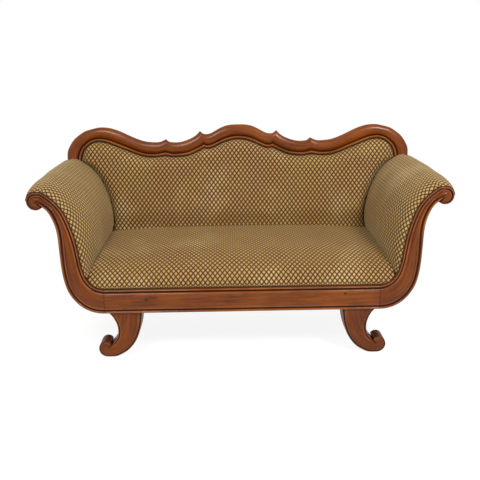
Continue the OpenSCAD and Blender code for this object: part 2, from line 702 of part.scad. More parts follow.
/* Seat: a crowned cushion with a rolled front edge and drawn-in sides. Its rings run from front to back. */
seat_base_z = seat_z + cloth_t + 2 * soft_gap;
seat_side_shares = [0, .05, .12, .22, .36, .52, .7, .86, .96];
seat_top_shares = [.985, .95, .88, .78, .64, .48, .32, .16];
crown_power = 2.6;
back_low = 12;
function seat_top_z(x, s) =
    let (share = min(1, abs(x))) seat_h + s * seat_rise + seat_crown * (1 - pow(share, crown_power));
function seat_ring(up, f, s, deep) =
    let (
        high = (seat_h + s * seat_rise - seat_base_z),
        side = [for (k = seat_side_shares)
            let (z = seat_base_z + k * high * up) [side_x(z, f), z]],
        edge = side[len(side) - 1][0],
        top = [for (k = seat_top_shares)
            [k * edge, seat_base_z + (seat_top_z(k, s) - seat_base_z) * up]],
        half = concat(side, top),
        middle = [[0, seat_base_z + (seat_top_z(0, s) - seat_base_z) * up]],
        whole = concat(
            half, middle, [for (i = [len(half) - 1 : -1 : 0]) [-half[i][0], half[i][1]]]
        )
    ) [for (p = whole) [p[0], is_undef(deep) ? seat_rear_y(p[1]) : deep, p[1]]];
function seat_rear_y(z) = back_y(z) - (back_low + soft_gap + lean_gap) / cos(back_rake);
seat_roll_shares = concat([for (t = front_roll_shares) t * arm_roll / seat_roll], [1]);
seat_low_share = .05;
seat_rest = [.25, .55, .8, .93];
module seat_cushion() color(cloth) loft(concat(
    [for (t = seat_roll_shares) seat_ring(
        seat_low_share + (1 - seat_low_share) * roll(t), roll(t * seat_roll / arm_roll), 0,
        cushion_front_y + t * seat_roll
    )],
    [for (s = seat_rest) seat_ring(
        1, 1, s, cushion_front_y + seat_roll + s * (seat_rear_y(seat_base_z) - cushion_front_y - seat_roll)
    )],
    [seat_ring(1, 1, 1, undef)]
));

/* Back: the crest's edge drawn in by some distance bounds the stuffing, and the arms bound its sides. */
function crest_in(i, d) =
    let (a = crest_half[i][0], b = crest_half[i][1]) a - d * (b - a) / norm(b - a);
function upright_z(v) = seat_z + v * cos(back_rake);
corner_place = 31;
// Height of the crest's edge over x, and its x beside the shoulder at height z, drawn in by d
function under_crest(x, d) = lookup(x, [
    for (i = [0 : corner_place]) [crest_in(i, d)[0], upright_z(crest_in(i, d)[1])]
]);
function beside_crest(z, d) = lookup(z, [
    for (i = [crest_last : -1 : corner_place]) [upright_z(crest_in(i, d)[1]), crest_in(i, d)[0]]
]);
function back_half_w(z, d) =
    min(z < shoulder_z + lean_gap ? side_x(z, 1) : beside_crest(z, d), beside_crest(z, d));
back_inset = gimp_w + soft_gap;
back_base_z = seat_z + batten_t;
back_top_start = shoulder_z + 4 * lean_gap;
back_low_shares = [0, .11, .24, .33, .43, .53, .63, .72, .8, .87, .93, .975, 1];
back_high_shares = [.14, .32, .52, .72, .87, .96, 1];
// Places of the crest that give the cushion its columns, the cusps among them
column_places = [31, 29, 28, 26, 24, 23, 22, 21, 20, 19, 17, 16, 15, 14, 13, 12, 11, 9, 8, 7, 5, 4, 2, 0];
corner_x = crest_in(corner_place, back_inset)[0];
column_shares = [for (i = column_places) crest_in(i, back_inset)[0] / corner_x];
back_swell_z = seat_h + 2 * back_low;
back_swell_share = 2.6;
back_swell_run = back_swell_share * back_stuffing;
back_round_share = 1.7;
back_round = back_round_share * back_stuffing;
back_flat_share = .18;
function ease(t) = let (c = min(1, max(0, t))) c * c * (3 - 2 * c);
function back_swell(x, z, w) =
    (back_low + (back_stuffing - back_low) * ease((z - back_swell_z) / back_swell_run))
        * (1 - back_flat_share * pow(abs(x / w), 2));
function back_face(x, z, w, d) =
    back_edge_y - (back_edge_y + back_swell(x, z, w)) * roll(d / back_round);
function mirrored(half) = concat(
    [for (p = half) [-p[0], p[1], p[2]]],
    [for (i = [len(half) - 2 : -1 : 0]) half[i]]
);
function back_row_low(s) =
    let (
        z = back_base_z + s * (back_top_start - back_base_z),
        w = back_half_w(z, back_inset)
    ) mirrored([
        for (c = column_shares)
            let (x = c * w, d = min(w - x, under_crest(min(x, corner_x), back_inset) - z))
            [x, back_face(x, z, w, d), lean_v(z)]
    ]);
function back_row_high(t) =
    let (
        corner_z = under_crest(corner_x, back_inset),
        edge_z = back_top_start + t * (corner_z - back_top_start),
        w = t == 1 ? corner_x : beside_crest(edge_z, back_inset)
    ) mirrored([
        for (c = column_shares)
            let (
                x = c * w,
                top = under_crest(c * corner_x, back_inset),
                z = back_top_start + t * (top - back_top_start),
                d = min(w - x, top - z)
            ) [x, back_face(x, z, w, d), lean_v(z)]
    ]);
// A cushion from a grid of front points, rows upward and columns to the right, with a flat rear
// whose faces meet at a hub
hub_share = .25;
module grid_cushion(rows, rear_y) {
    n = len(rows[0]);
    m = len(rows);
    loop = concat(
        [for (i = [0 : n - 1]) i],
        [for (j = [1 : m - 1]) j * n + n - 1],
        [for (i = [n - 2 : -1 : 0]) (m - 1) * n + i],
        [for (j = [m - 2 : -1 : 1]) j * n]
    );
    points = [for (r = rows) each r];
    k = len(loop);
    polyhedron(
        points = concat(
            points,
            [for (i = loop) [points[i][0], rear_y, points[i][2]]],
            [[0, rear_y, points[floor(m * hub_share) * n][2]]]
        ),
        faces = concat(
            [for (j = [0 : m - 2]) for (i = [0 : n - 2])
                let (a = j * n + i) each [[a, a + n, a + 1], [a + 1, a + n, a + n + 1]]],
            [for (i = [0 : k - 1])
                let (a = loop[i], b = loop[(i + 1) % k], c = n * m + i, d = n * m + (i + 1) % k)
                each [[a, b, c], [b, d, c]]],
            [for (i = [0 : k - 1]) [n * m + i, n * m + (i + 1) % k, n * m + k]]
        ),
        convexity = 8
    );
}
module back_cushion() color(cloth) lean() grid_cushion(
    concat(
        [for (s = back_low_shares) back_row_low(s)],
        [for (t = back_high_shares) back_row_high(t)]
    ),
    back_rear_y
);

// The outline of the back's opening below the crest, drawn in by d
function opening_outline(d, z0) =
    let (
        half = concat(
            [[back_half_w(z0, d) - d, lean_v(z0)]],
            [for (s = back_low_shares)
                let (z = back_base_z + s * (back_top_start - back_base_z))
                if (z > z0) [back_half_w(z, d) - d, lean_v(z)]],
            [for (i = column_places) crest_in(i, d)]
        )
    ) concat(half, [for (i = [len(half) - 2 : -1 : 0]) [-half[i][0], half[i][1]]]);
module back_hessian() color(jute) lean()
    plate(back_rear_y + soft_gap, back_rear_y + soft_gap + cloth_t,
        opening_outline(soft_gap, back_bottom_z));
back_straps = 9;
back_cross_straps = 3;
module back_webbing() color(jute) lean() {
    for (k = [0 : back_straps - 1]) {
        x = (k - (back_straps - 1) / 2) * 2 * stile_inner_x(back_bottom_z) / (back_straps + .5);
        top = min(
            under_crest(abs(abs(x) - web_w / 2), soft_gap),
            min(under_crest(abs(x), soft_gap), under_crest(min(corner_x, abs(x) + web_w / 2), soft_gap))
        );
        plate(back_web_y, back_web_y + cloth_t, [
            [x - web_w / 2, lean_v(back_bottom_z)], [x + web_w / 2, lean_v(back_bottom_z)],
            [x + web_w / 2, lean_v(top - 2 * lean_gap)], [x - web_w / 2, lean_v(top - 2 * lean_gap)]
        ]);
    }
    for (k = [1 : back_cross_straps]) {
        z0 = back_bottom_z + back_bottom_h;
        z = z0 + k * (shoulder_z - z0) / (back_cross_straps + 1);
        plate(back_web_y + cloth_t, back_web_y + 2 * cloth_t, [
            for (s = [-1, 1]) for (e = s < 0 ? [0, 1] : [1, 0])
                [s * (stile_inner_x(z + e * web_w)), lean_v(z + e * web_w)]
        ]);
    }
}
outside_inset = 18;
module outside_back() color(cloth) lean() {
    half = concat(
        [[half_rail - outside_inset, lean_v(foot_h + outside_inset)]],
        [for (i = [2 : 17]) leaned(inward(i, outside_inset))],
        [for (i = [crest_last : -1 : 0])
            let (e = crest_half[i], d = (e[1] - e[0]) / norm(e[1] - e[0])) e[1] - outside_inset * d]
    );
    plate(crest_t, crest_t + cloth_t, concat(
        half, [for (i = [len(half) - 2 : -1 : 0]) [-half[i][0], half[i][1]]]
    ));
}

/* Seat springs on their webbing */
web_z = foot_h + batten_t;
seat_straps = 11;
seat_cross_straps = 5;
function strap_x(k) = (k - (seat_straps - 1) / 2) * rail_l / (seat_straps + .4);
function strap_y(k) = front_y + rail_t + seat_inside_d * (k + .5) / seat_cross_straps;
module seat_webbing() color(jute) {
    for (k = [0 : seat_straps - 1])
        translate([strap_x(k) - web_w / 2, front_y + rail_t, web_z]) cube([web_w, seat_inside_d, cloth_t]);
    for (k = [0 : seat_cross_straps - 1])
        translate([-half_rail, strap_y(k) - web_w / 2, web_z + cloth_t]) cube([rail_l, web_w, cloth_t]);
}
spring_z = web_z + 2 * cloth_t;
spring_h = seat_z - spring_z;
module spring() rotate_extrude($fn = 48) polygon([
    [spring_d / 2 - wire_d, 0], [spring_d / 2, 0], [spring_waist_d / 2, spring_h / 2],
    [spring_d / 2, spring_h], [spring_d / 2 - wire_d, spring_h], [spring_waist_d / 2 - wire_d, spring_h / 2]
]);
module seat_springs() color(steel)
    for (k = [1 : 2 : seat_straps - 2]) for (j = [1 : seat_cross_straps - 2])
        translate([strap_x(k), strap_y(j), spring_z]) spring();
module seat_hessian() color(jute) difference() {
    translate([-half_rail, cushion_front_y, seat_z])
        cube([rail_l, settee_d, cloth_t]);
    behind_back(back_low);
}
bottom_inset = 8;
module bottom_cloth() color(jute) translate([0, 0, foot_h - cloth_t]) linear_extrude(cloth_t) difference() {
    translate([-half_rail + bottom_inset, front_y + rail_t - bottom_inset])
        square([rail_l - 2 * bottom_inset, back_y(foot_h) - front_y - rail_t + 2 * bottom_inset]);
    for (s = [0, 1]) mirror([s, 0]) {
        translate([foot_x - bottom_inset, front_y]) square([foot_w + 2 * bottom_inset + bead_out,
            foot_setback + foot_t + soft_gap]);
        translate([rear_foot_x - rear_foot_t / 2 - bottom_inset, back_y(foot_h) - bottom_inset])
            square([rear_foot_t + 2 * bottom_inset, settee_d]);
    }
}

/* Braid along the tacked edges */
module seat_gimp() color(braid) translate([-half_rail, front_y + edge_drop, seat_z])
    cube([rail_l, gimp_w, gimp_t]);
gimp_last = len(lyre_inner_shares) + 8;
function rim(i, t) = i == 0 ? arm_path[0] + [0, t] : off_path(i, t);
module arm_gimp(right) color(braid) both(right) {
    plate(front_y + edge_drop, front_y + edge_drop + gimp_w, concat(
        [for (i = [0 : gimp_last]) rim(i, 0)],
        [for (i = [gimp_last : -1 : 0]) rim(i, gimp_t)]
    ));
}
module arm_gimp_left() arm_gimp(false);
module arm_gimp_right() arm_gimp(true);
function crest_fabric_edge(d) = concat(
    [for (i = [crest_last - 1 : -1 : 1]) [-crest_in(i, d)[0], crest_in(i, d)[1]]],
    [for (i = [0 : crest_last - 1]) crest_in(i, d)]
);
module back_gimp() color(braid) lean() {
    inner = crest_fabric_edge(gimp_w);
    plate(back_edge_y, back_edge_y + gimp_t, concat(
        crest_fabric_edge(0), [for (i = [len(inner) - 1 : -1 : 0]) inner[i]]
    ));
}

front_rail();
rear_rail();
side_rail_left();
side_rail_right();
side_apron_left();
side_apron_right();
arm_base_rail_left();
arm_base_rail_right();
webbing_battens();
seat_brace();
corner_blocks();
corner_screws();
front_foot_left();
front_foot_right();
rear_foot_left();
rear_foot_right();
foot_tenons();
rail_tenons();
arm_facing_left();
arm_facing_right();
arm_pole_left();
arm_pole_right();
back_stile_left();
back_stile_right();
back_bottom_rail();
crest_rail();
crest_tenons();
seat_webbing();
seat_springs();
seat_hessian();
seat_cushion();
back_webbing();
back_hessian();
back_cushion();
arm_webbing_left();
arm_webbing_right();
arm_hessian_left();
arm_hessian_right();
arm_cushion_left();
arm_cushion_right();
outside_arm_left();
outside_arm_right();
outside_back();
bottom_cloth();
seat_gimp();
arm_gimp_left();
arm_gimp_right();
back_gimp();
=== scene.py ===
# %% [markdown]
# # A scroll-arm settee, dressed for a portrait
# The solids of the settee come from its CAD model. Here each visible piece gets the finish of the
# real one: polished mahogany with carved mouldings, and a tight cover woven with small diamonds.
# Sizes are in millimetres, as a maker writes them, and turn into metres in one place.

import math

import bmesh
import bpy
import numpy as np
from mathutils import Matrix, Vector


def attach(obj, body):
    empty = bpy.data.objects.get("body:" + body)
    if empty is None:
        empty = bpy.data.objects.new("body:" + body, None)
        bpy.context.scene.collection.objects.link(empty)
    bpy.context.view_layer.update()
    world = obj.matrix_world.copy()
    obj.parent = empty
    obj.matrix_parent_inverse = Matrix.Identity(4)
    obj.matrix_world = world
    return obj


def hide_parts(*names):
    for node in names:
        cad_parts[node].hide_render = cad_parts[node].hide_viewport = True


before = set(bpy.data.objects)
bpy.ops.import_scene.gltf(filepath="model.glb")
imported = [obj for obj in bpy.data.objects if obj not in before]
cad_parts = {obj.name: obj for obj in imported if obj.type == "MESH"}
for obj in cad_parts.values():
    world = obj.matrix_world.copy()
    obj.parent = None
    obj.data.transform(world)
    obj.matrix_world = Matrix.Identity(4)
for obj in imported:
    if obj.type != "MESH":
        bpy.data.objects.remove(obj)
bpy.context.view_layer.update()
print("the CAD model has", len(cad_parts), "nodes")

# %% [markdown]
# ## The camera
# The settee was photographed from a little above, almost square on, with the camera 3.2 m in front
# of it. Three angles turn the camera, and a 49 mm lens gives the photograph's frame.

# %% Camera
scene = bpy.context.scene


def add(name, data, place=(0, 0, 0), turned=Matrix.Identity(4)):
    """A new object in the scene, at a place in metres and turned by a matrix."""
    piece = bpy.data.objects.new(name, data)
    piece.matrix_world = Matrix.Translation(place) @ turned
    scene.collection.objects.link(piece)
    return piece


lens = bpy.data.cameras.new("camera")
lens.sensor_width = 36
lens.lens = 649 / 480 * lens.sensor_width
yaw, pitch, tilt = np.radians([0.98, 16.18, -0.63])
turned = Matrix.Rotation(-yaw, 4, "Z") @ Matrix.Rotation(math.pi / 2 - pitch, 4, "X")
turned = turned @ Matrix.Rotation(tilt, 4, "Z")
scene.camera = add("camera", lens, (-0.056, -3.175, 1.385), turned)
print("camera with a lens of", round(lens.lens, 2), "mm")

# %% [markdown]
# ## Lamps
# Two soft lamps hang in front and above, one on each side, and a pale world lights the rest. Their
# reflections draw the thin bright lines along the polished beads.

# %% Lamps
LAMPS = ("lamp_left", (-1.1, -2.9, 3.1), 46), ("lamp_right", (1.8, -2.6, 3.0), 76)
for name, place, power in LAMPS:
    light = bpy.data.lights.new(name, "AREA")
    light.shape, light.size, light.energy = "SQUARE", 0.85, power
    away = Vector(place) - Vector((0, 0, 0.5))
    add(name, light, place, away.to_track_quat("Z", "Y").to_matrix().to_4x4())
scene.view_settings.view_transform = "Standard"
print("lamps placed")

# %% [markdown]
# ## Writing finishes as sums
# A node tree reads well as arithmetic. `Wire` stands for a socket and turns +, - and * into Math
# nodes. `Finish` is a material around one shader, with a method for each kind of node it needs.


# %% Wire and Finish
class Wire:
    """One output of a node, which takes part in plain arithmetic on numbers."""

    def __init__(self, finish, socket):
        self.finish, self.socket = finish, socket

    def __add__(self, other):
        return self.finish.sum("ADD", self, other)

    def __sub__(self, other):
        return self.finish.sum("SUBTRACT", self, other)

    def __mul__(self, other):
        return self.finish.sum("MULTIPLY", self, other)

    def __rsub__(self, other):
        return self.finish.sum("SUBTRACT", other, self)

    __radd__, __rmul__ = __add__, __mul__


class Finish:
    """A material made of nodes, with the shader's constants given first."""

    def __init__(self, name, **constants):
        self.material = bpy.data.materials.new(name)
        self.material.use_nodes = True
        self.tree = self.material.node_tree
        self.tree.nodes.clear()
        self.shader = self.tree.nodes.new("ShaderNodeBsdfPrincipled")
        output = self.tree.nodes.new("ShaderNodeOutputMaterial")
        self.tree.links.new(self.shader.outputs[0], output.inputs[0])
        self.wear(**constants)

    def plug(self, socket, value):
        """Set a socket to a number or colour, or link a Wire to it."""
        if isinstance(value, Wire):
            self.tree.links.new(value.socket, socket)
        else:
            socket.default_value = value

    def node(self, kind, values, out=0, **settings):
        """Add a node with its sockets' values and its settings."""
        node = self.tree.nodes.new("ShaderNode" + kind)
        for key, value in settings.items():
            setattr(node, key, value)
        for key, value in values.items():
            self.plug(node.inputs[key], value)
        return Wire(self, node.outputs[out])

    def sum(self, kind, a, b=0.0):
        return self.node("Math", {0: a, 1: b}, operation=kind)

    def place(self):
        """Object coordinates in metres."""
        return self.node("TexCoord", {}, "Object")

    def cloth_place(self):
        """The piece's own UV map, also in metres."""
        return self.node("UVMap", {}, uv_map="UVMap")

    def mark(self, name):
        """An attribute of the mesh, from 0 to 1."""
        return self.node("Attribute", {}, "Fac", attribute_name=name)

    def split(self, place):
        """The three numbers of a place."""
        node = self.node("SeparateXYZ", {0: place}).socket.node
        return [Wire(self, out) for out in node.outputs]

    def noise(self, place, size, detail=4.0, rough=0.55):
        values = {"Vector": place, "Scale": size, "Detail": detail, "Roughness": rough}
        return self.node("TexNoise", values)

    def smooth(self, value, low, high):
        """A soft step from 0 to 1 as value goes from low to high."""
        values = {"Value": value, "From Min": low, "From Max": high}
        return self.node("MapRange", values, interpolation_type="SMOOTHSTEP")

    def blend(self, share, a, b):
        """Colour a turned into colour b by a share."""
        a, b = ((*colour, 1) if isinstance(colour, tuple) else colour for colour in (a, b))
        return self.node("Mix", {0: share, 6: a, 7: b}, 2, data_type="RGBA")

    def relief(self, height, distance, strength=1.0):
        values = {"Height": height, "Distance": distance, "Strength": strength}
        return self.node("Bump", values)

    def wear(self, **sockets):
        """Set or link the shader's sockets by name."""
        for socket, value in sockets.items():
            self.plug(self.shader.inputs[socket.replace("_", " ")], value)
        return self.material


def linear(*rgb):
    """A colour as read on a screen, 0 to 255, as the linear numbers that shaders use."""
    share = np.array(rgb, float) / 255
    bright = ((share + 0.055) / 1.055) ** 2.4
    return tuple(np.where(share <= 0.04045, share / 12.92, bright).tolist())


print("finishes can be written as sums")

# %% [markdown]
# ## Polished mahogany
# Mahogany is red-brown with long soft streaks and short dark pores along the grain. The grain is
# noise stretched along the moulding. Old polish gathers in the grooves and joints and darkens and
# dulls them, and painted shade darkens the side walls, the foot of each rounded edge and a round
# panel's sides. The bead crowns are lighter and glossier, partly from wear and partly as a painted
# highlight. Two attributes from the moulding's own formula say where: one is 1 in a groove, the
# other 1 on a bead's crown.


# %% Wood finishes
def knot(wood, streak, x0, z0, size):
    """A dark spot at an x and z in metres, with a short dark streak beside it: 0 to 1."""
    x, _, z = wood.split(wood.place())
    away_x, away_z = (x - x0) * (1 / size), (z - z0) * (1 / size)
    spot = wood.smooth(away_x * away_x + away_z * away_z + 0.8 * (streak - 0.5), 1.0, 0.1)
    tail_x, tail_z = (x - x0 - 2.5 * size) * (0.3 / size), away_z - 1.0
    tail = wood.smooth(tail_x * tail_x + tail_z * tail_z + 1.2 * (streak - 0.5), 1.1, 0.0)
    return wood.sum("MAXIMUM", spot * 0.75, tail * 0.45)


def wood_finish(name, light, dark, gloss, carved=True, along=0, knots=()):
    """Streaked wood. On a carved piece the grain follows the first axis of its own UV map, which
    runs lengthwise; on a plain one it follows x, y or z, given by 0, 1 or 2."""
    wood = Finish(name, Coat_Roughness=0.2, Coat_IOR=1.45, Specular_IOR_Level=0.05)
    spot = wood.cloth_place() if carved else wood.place()
    stretch = [1.0, 1.0, 1.0]
    stretch[along] = 0.09
    place = wood.node("Mapping", {"Vector": spot, "Scale": stretch})
    broad = wood.noise(spot, 5.0, 2.0)
    band = wood.noise(place, 22.0, 3.0)
    streak = wood.noise(place, 85.0, 5.0, 0.62)
    fleck = wood.noise(place, 300.0, 2.0, 0.5)
    tone = wood.smooth(streak * 0.42 + band * 0.26 + broad * 0.36, 0.30, 0.76)
    pore = wood.smooth(fleck, 0.58, 0.70)
    colour = wood.blend(tone, dark, light)
    for x0, z0, size in knots:
        colour = wood.blend(knot(wood, streak, x0, z0, size), colour, (0.02, 0.008, 0.004))
    colour = wood.blend(pore * 0.3, colour, tuple(0.4 * c for c in dark))
    rough = gloss + 0.10 * streak
    coat = 0.44 - 0.08 * pore
    if carved:
        hollow, rubbed = wood.mark("hollow"), wood.mark("rubbed")
        patchy = wood.smooth(broad, 0.38, 0.66)
        # Bead crowns blended lighter: partly wear, partly a painted highlight.
        colour = wood.blend(rubbed * (0.08 + 0.36 * patchy), colour, linear(178, 112, 56))
        # Darker in the grooves from old polish, and painted shade on the side walls and rounded
        # edges.
        colour = wood.blend(hollow * (0.72 + 0.2 * patchy), colour, tuple(0.16 * c for c in dark))
        rough = rough + 0.22 * hollow
        coat = coat + 0.5 * rubbed - 0.36 * hollow
    grain = wood.relief(1.0 - pore, 0.00006, 0.2)
    return wood.wear(Base_Color=colour, Roughness=rough, Coat_Weight=coat, Normal=grain)


rich = linear(146, 75, 10), linear(84, 34, 3), 0.25
knots = ((-0.443, 0.293, 0.011), (0.476, 0.308, 0.010))
mahogany = wood_finish("mahogany_carved", *rich)
rail_mahogany = wood_finish("mahogany_rail", *rich, knots=knots)
# A little darker for the arm facings and feet: painted shade.
shaded_mahogany = wood_finish("mahogany_arms_shaded", linear(138, 68, 8), linear(76, 30, 2), 0.25)
plain = linear(132, 66, 26), linear(78, 34, 12), 0.38
plain_mahogany = wood_finish("mahogany_plain", *plain, carved=False, along=2)
beech = wood_finish("beech_frame", linear(214, 176, 126), linear(178, 134, 84), 0.55, False)
print("wood finishes made")

# %% [markdown]
# ## The cover cloth
# The cover is woven with small golden diamonds, each about 23 mm wide and 31 mm high, on a brown
# ground crossed by thin dark lines. Two sets of slanting lines come from the fractions of u + v and
# u - v, so the pattern follows each piece's own UV map, in metres of cloth. Broad noise fades it in
# patches, where sitting and light have worn the pile. The arms' cloth is paler all over, a painted
# sheen.

# %% Cloth finish
DIAMOND_W, DIAMOND_H = 0.0226, 0.0306


def lattice_finish(name, painted_sheen=0.0):
    """Diamonds: u/w + v/h and u/w - v/h are whole numbers on the dark lines. The second argument, a
    share, pales the whole cloth as a painted sheen."""
    cloth = Finish(
        name, Specular_IOR_Level=0.25, Sheen_Weight=0.3, Sheen_Roughness=0.45,
        Sheen_Tint=(0.95, 0.78, 0.42, 1),
    )
    u, v, _ = cloth.split(cloth.cloth_place())
    u, v = u * (1 / DIAMOND_W), v * (1 / DIAMOND_H)
    place = cloth.place()
    slack = (cloth.noise(place, 9.0, 2.0) - 0.5) * 0.10

    def slant(sum_uv):
        """0 halfway between two lines, 1 on a line."""
        return cloth.sum("ABSOLUTE", cloth.sum("FRACT", sum_uv + slack) - 0.5) * 2.0

    rim = cloth.sum("MAXIMUM", slant(u + v), slant(u - v))
    yarn = cloth.noise(place, 420.0, 2.0, 0.6)
    worn = cloth.smooth(cloth.noise(place, 5.5, 3.0), 0.35, 0.65)
    edge = rim + (yarn - 0.5) * 0.22
    # Worn patches from noise; on the arms the second argument adds a painted sheen that pales it
    # all.
    fade_and_sheen = cloth.smooth(cloth.noise(place, 3.4, 3.0, 0.6), 0.46, 0.68) * 0.55 + painted_sheen
    gold = cloth.blend(cloth.smooth(yarn, 0.3, 0.7), linear(188, 155, 94), linear(168, 133, 72))
    gold = cloth.blend(fade_and_sheen, gold, linear(214, 188, 132))
    ground = cloth.blend(worn, linear(140, 104, 54), linear(134, 86, 56))
    ground = cloth.blend(fade_and_sheen, ground, linear(160, 126, 78))
    colour = cloth.blend(cloth.smooth(edge, 0.40, 0.66), gold, ground)
    colour = cloth.blend(cloth.smooth(edge, 0.70, 0.86), colour, linear(46, 30, 10))
    height = cloth.relief((1.0 - cloth.smooth(rim, 0.35, 0.8)) * 0.8 + yarn * 0.2, 0.0006, 0.7)
    return cloth.wear(Base_Color=colour, Roughness=0.72 + 0.18 * yarn, Normal=height)


cover = lattice_finish("lattice_cloth")
# The arms get a paler cloth: a painted sheen.
sheen_arm_cover = lattice_finish("lattice_cloth_arms_painted_sheen", 0.26)
print("cloth woven with diamonds of", DIAMOND_W, "by", DIAMOND_H, "m")

# %% [markdown]
# ## Cord, jute, lining and steel
# The tacked edges are hidden by a twisted cord in dark brown. Webbing and hessian are plain jute,
# the lining under the seat is black cotton, and springs and screws are dull drawn steel.


# %% Small finishes
def yarn_finish(name, light, dark, size):
    """Plain woven yarn: two sets of ribs, one along each of two axes, with uneven colour."""
    yarn = Finish(name, Specular_IOR_Level=0.2)
    place = yarn.place()
    x, y, z = yarn.split(place)
    weave = yarn.sum("SINE", x * size) * yarn.sum("SINE", (y + z) * size)
    uneven = yarn.noise(place, 60.0, 3.0)
    colour = yarn.blend(yarn.smooth(weave + uneven, -0.2, 1.3), dark, light)
    rough = 0.8 + 0.15 * uneven
    return yarn.wear(Base_Color=colour, Roughness=rough, Normal=yarn.relief(weave, 0.0004))


cord_finish = yarn_finish("twisted_cord", linear(84, 62, 38), linear(38, 26, 15), 2600.0)
jute = yarn_finish("jute_webbing", linear(190, 158, 112), linear(128, 98, 62), 2100.0)
lining_finish = yarn_finish("bottom_lining", linear(52, 48, 44), linear(24, 22, 20), 3000.0)
steel = Finish("drawn_steel", Metallic=1.0)
patch = steel.noise(steel.place(), 40.0)
grey = steel.blend(steel.smooth(patch, 0.4, 0.7), linear(168, 168, 166), linear(112, 104, 96))
wire = steel.wear(Base_Color=grey, Roughness=0.3 + 0.3 * patch)
print("small finishes made")

# %% [markdown]
# ## Curves and surfaces from numbers
# Every carved piece is a profile carried along a path. The path's points are listed, and a
# natural cubic spline runs smoothly through them.

# %% Spline and meshes
join = np.concatenate


def unit(vectors):
    """Vectors scaled to length 1."""
    return vectors / np.linalg.norm(vectors, axis=-1, keepdims=True)


def spline(points, t):
    """Natural cubic through points at 0, 1, 2...: on each span a*p0 + b*p1 plus the bends m0 and m1
    weighted by (a^3 - a)/6 and (b^3 - b)/6, where b is the share of the span and a is 1 - b."""
    p = np.asarray(points, float)
    n = len(p)
    band = 4 * np.eye(n) + np.eye(n, k=1) + np.eye(n, k=-1)
    band[[0, -1]] = 0
    band[0, 0] = band[-1, -1] = 1
    bends = np.zeros_like(p)
    bends[1:-1] = 6 * (p[:-2] - 2 * p[1:-1] + p[2:])
    bends = np.linalg.solve(band, bends)
    i = np.clip(np.floor(t).astype(int), 0, n - 2)
    b = (t - i).reshape(-1, *[1] * (p.ndim - 1))
    a = 1 - b
    return a * p[i] + b * p[i + 1] + ((a ** 3 - a) * bends[i] + (b ** 3 - b) * bends[i + 1]) / 6


def part(t):
    """A number kept between 0 and 1."""
    return np.clip(t, 0, 1)


def ease(t):
    """A soft step from 0 to 1."""
    return part(t) ** 2 * (3 - 2 * part(t))


def run(points, axis=0):
    """Distance run from the first point of a line, or along one axis of a grid of points."""
    steps = np.linalg.norm(np.diff(points, axis=axis), axis=-1)
    start = np.zeros_like(np.take(steps, [0], axis=axis))
    return join([start, np.cumsum(steps, axis=axis)], axis=axis)


def uv_map(u, v):
    """UV in metres of cloth or wood from two lengths in mm."""
    return np.stack(np.broadcast_arrays(u, v), axis=-1) / 1000


def xyz(x, y, z):
    """Points (..., 3) from three arrays or numbers."""
    return np.stack(np.broadcast_arrays(x, y, z), axis=-1)


def corners(m, n):
    """The four corners of each cell of an m by n grid of points, as rows of point numbers."""
    i, j = np.meshgrid(np.arange(m - 1), np.arange(n - 1), indexing="ij")
    first = (i * n + j).ravel()
    return np.stack([first, first + 1, first + n + 1, first + n], axis=1)


def border(m, n):
    """The numbers of a grid's outer points, in order around it."""
    return join([
        np.arange(n), np.arange(1, m) * n + n - 1, (m - 1) * n + np.arange(n - 2, -1, -1),
        np.arange(m - 2, 0, -1) * n,
    ])


def make(name, points, faces, uv, finish, marks=None, sharp=35):
    """A mesh object from points in mm, faces as lists of point numbers, a UV for each corner, and
    marks, which are attributes with a value for each point."""
    mesh = bpy.data.meshes.new(name)
    mesh.from_pydata((np.asarray(points) / 1000).tolist(), [], faces)
    mesh.uv_layers.new(name="UVMap").data.foreach_set("uv", np.asarray(uv, np.float32).ravel())
    for mark, values in (marks or {}).items():
        mesh.attributes.new(mark, "FLOAT", "POINT").data.foreach_set("value", values.ravel())
    bm = bmesh.new()
    bm.from_mesh(mesh)
    bmesh.ops.remove_doubles(bm, verts=bm.verts, dist=1e-7)
    bmesh.ops.recalc_face_normals(bm, faces=bm.faces)
    bm.to_mesh(mesh)
    bm.free()
    mesh.shade_smooth()
    mesh.set_sharp_from_angle(angle=math.radians(sharp))
    mesh.materials.append(finish)
    piece = add(name, mesh)
    print(name, "has", len(mesh.polygons), "faces")
    return piece


def loft(name, rings, uv, finish, marks=None, sharp=35):
    """A closed solid through rings (m, n, 3), joined around and capped at both ends. uv has one
    column more than the rings, for the seam."""
    m, n = rings.shape[:2]
    cells = corners(m, n + 1)
    i, j = cells // (n + 1), cells % (n + 1)
    faces = (i * n + j % n).tolist()
    corner_uv = uv.reshape(-1, 2)[cells].reshape(-1, 2)
    caps = [list(range(n)), list(range((m - 1) * n, m * n))]
    flat = rings.reshape(-1, 3)
    uv = join([corner_uv, *(flat[cap][:, [0, 2]] / 1000 for cap in caps)])
    return make(name, flat, faces + caps, uv, finish, marks, sharp)


def settle(piece, slot, *nodes):
    """The piece rides on the one body and stands for CAD nodes. The slot is not used."""
    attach(piece, "root")
    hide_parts(*nodes)
    return piece


def mirrored(points):
    """The same points on the settee's left."""
    return points * [-1, 1, 1]


SIDES = ("left", mirrored), ("right", np.array)
print("a spline through 0, 1, 4 passes", spline([0, 1, 4], np.array([1.0])))

# %% [markdown]
# ## The settee's sizes
# These are the CAD model's own named sizes. Each arm is a lyre: its outer and inner edges are
# written in thousandths of the arm's reach and rise, and end in a scroll.

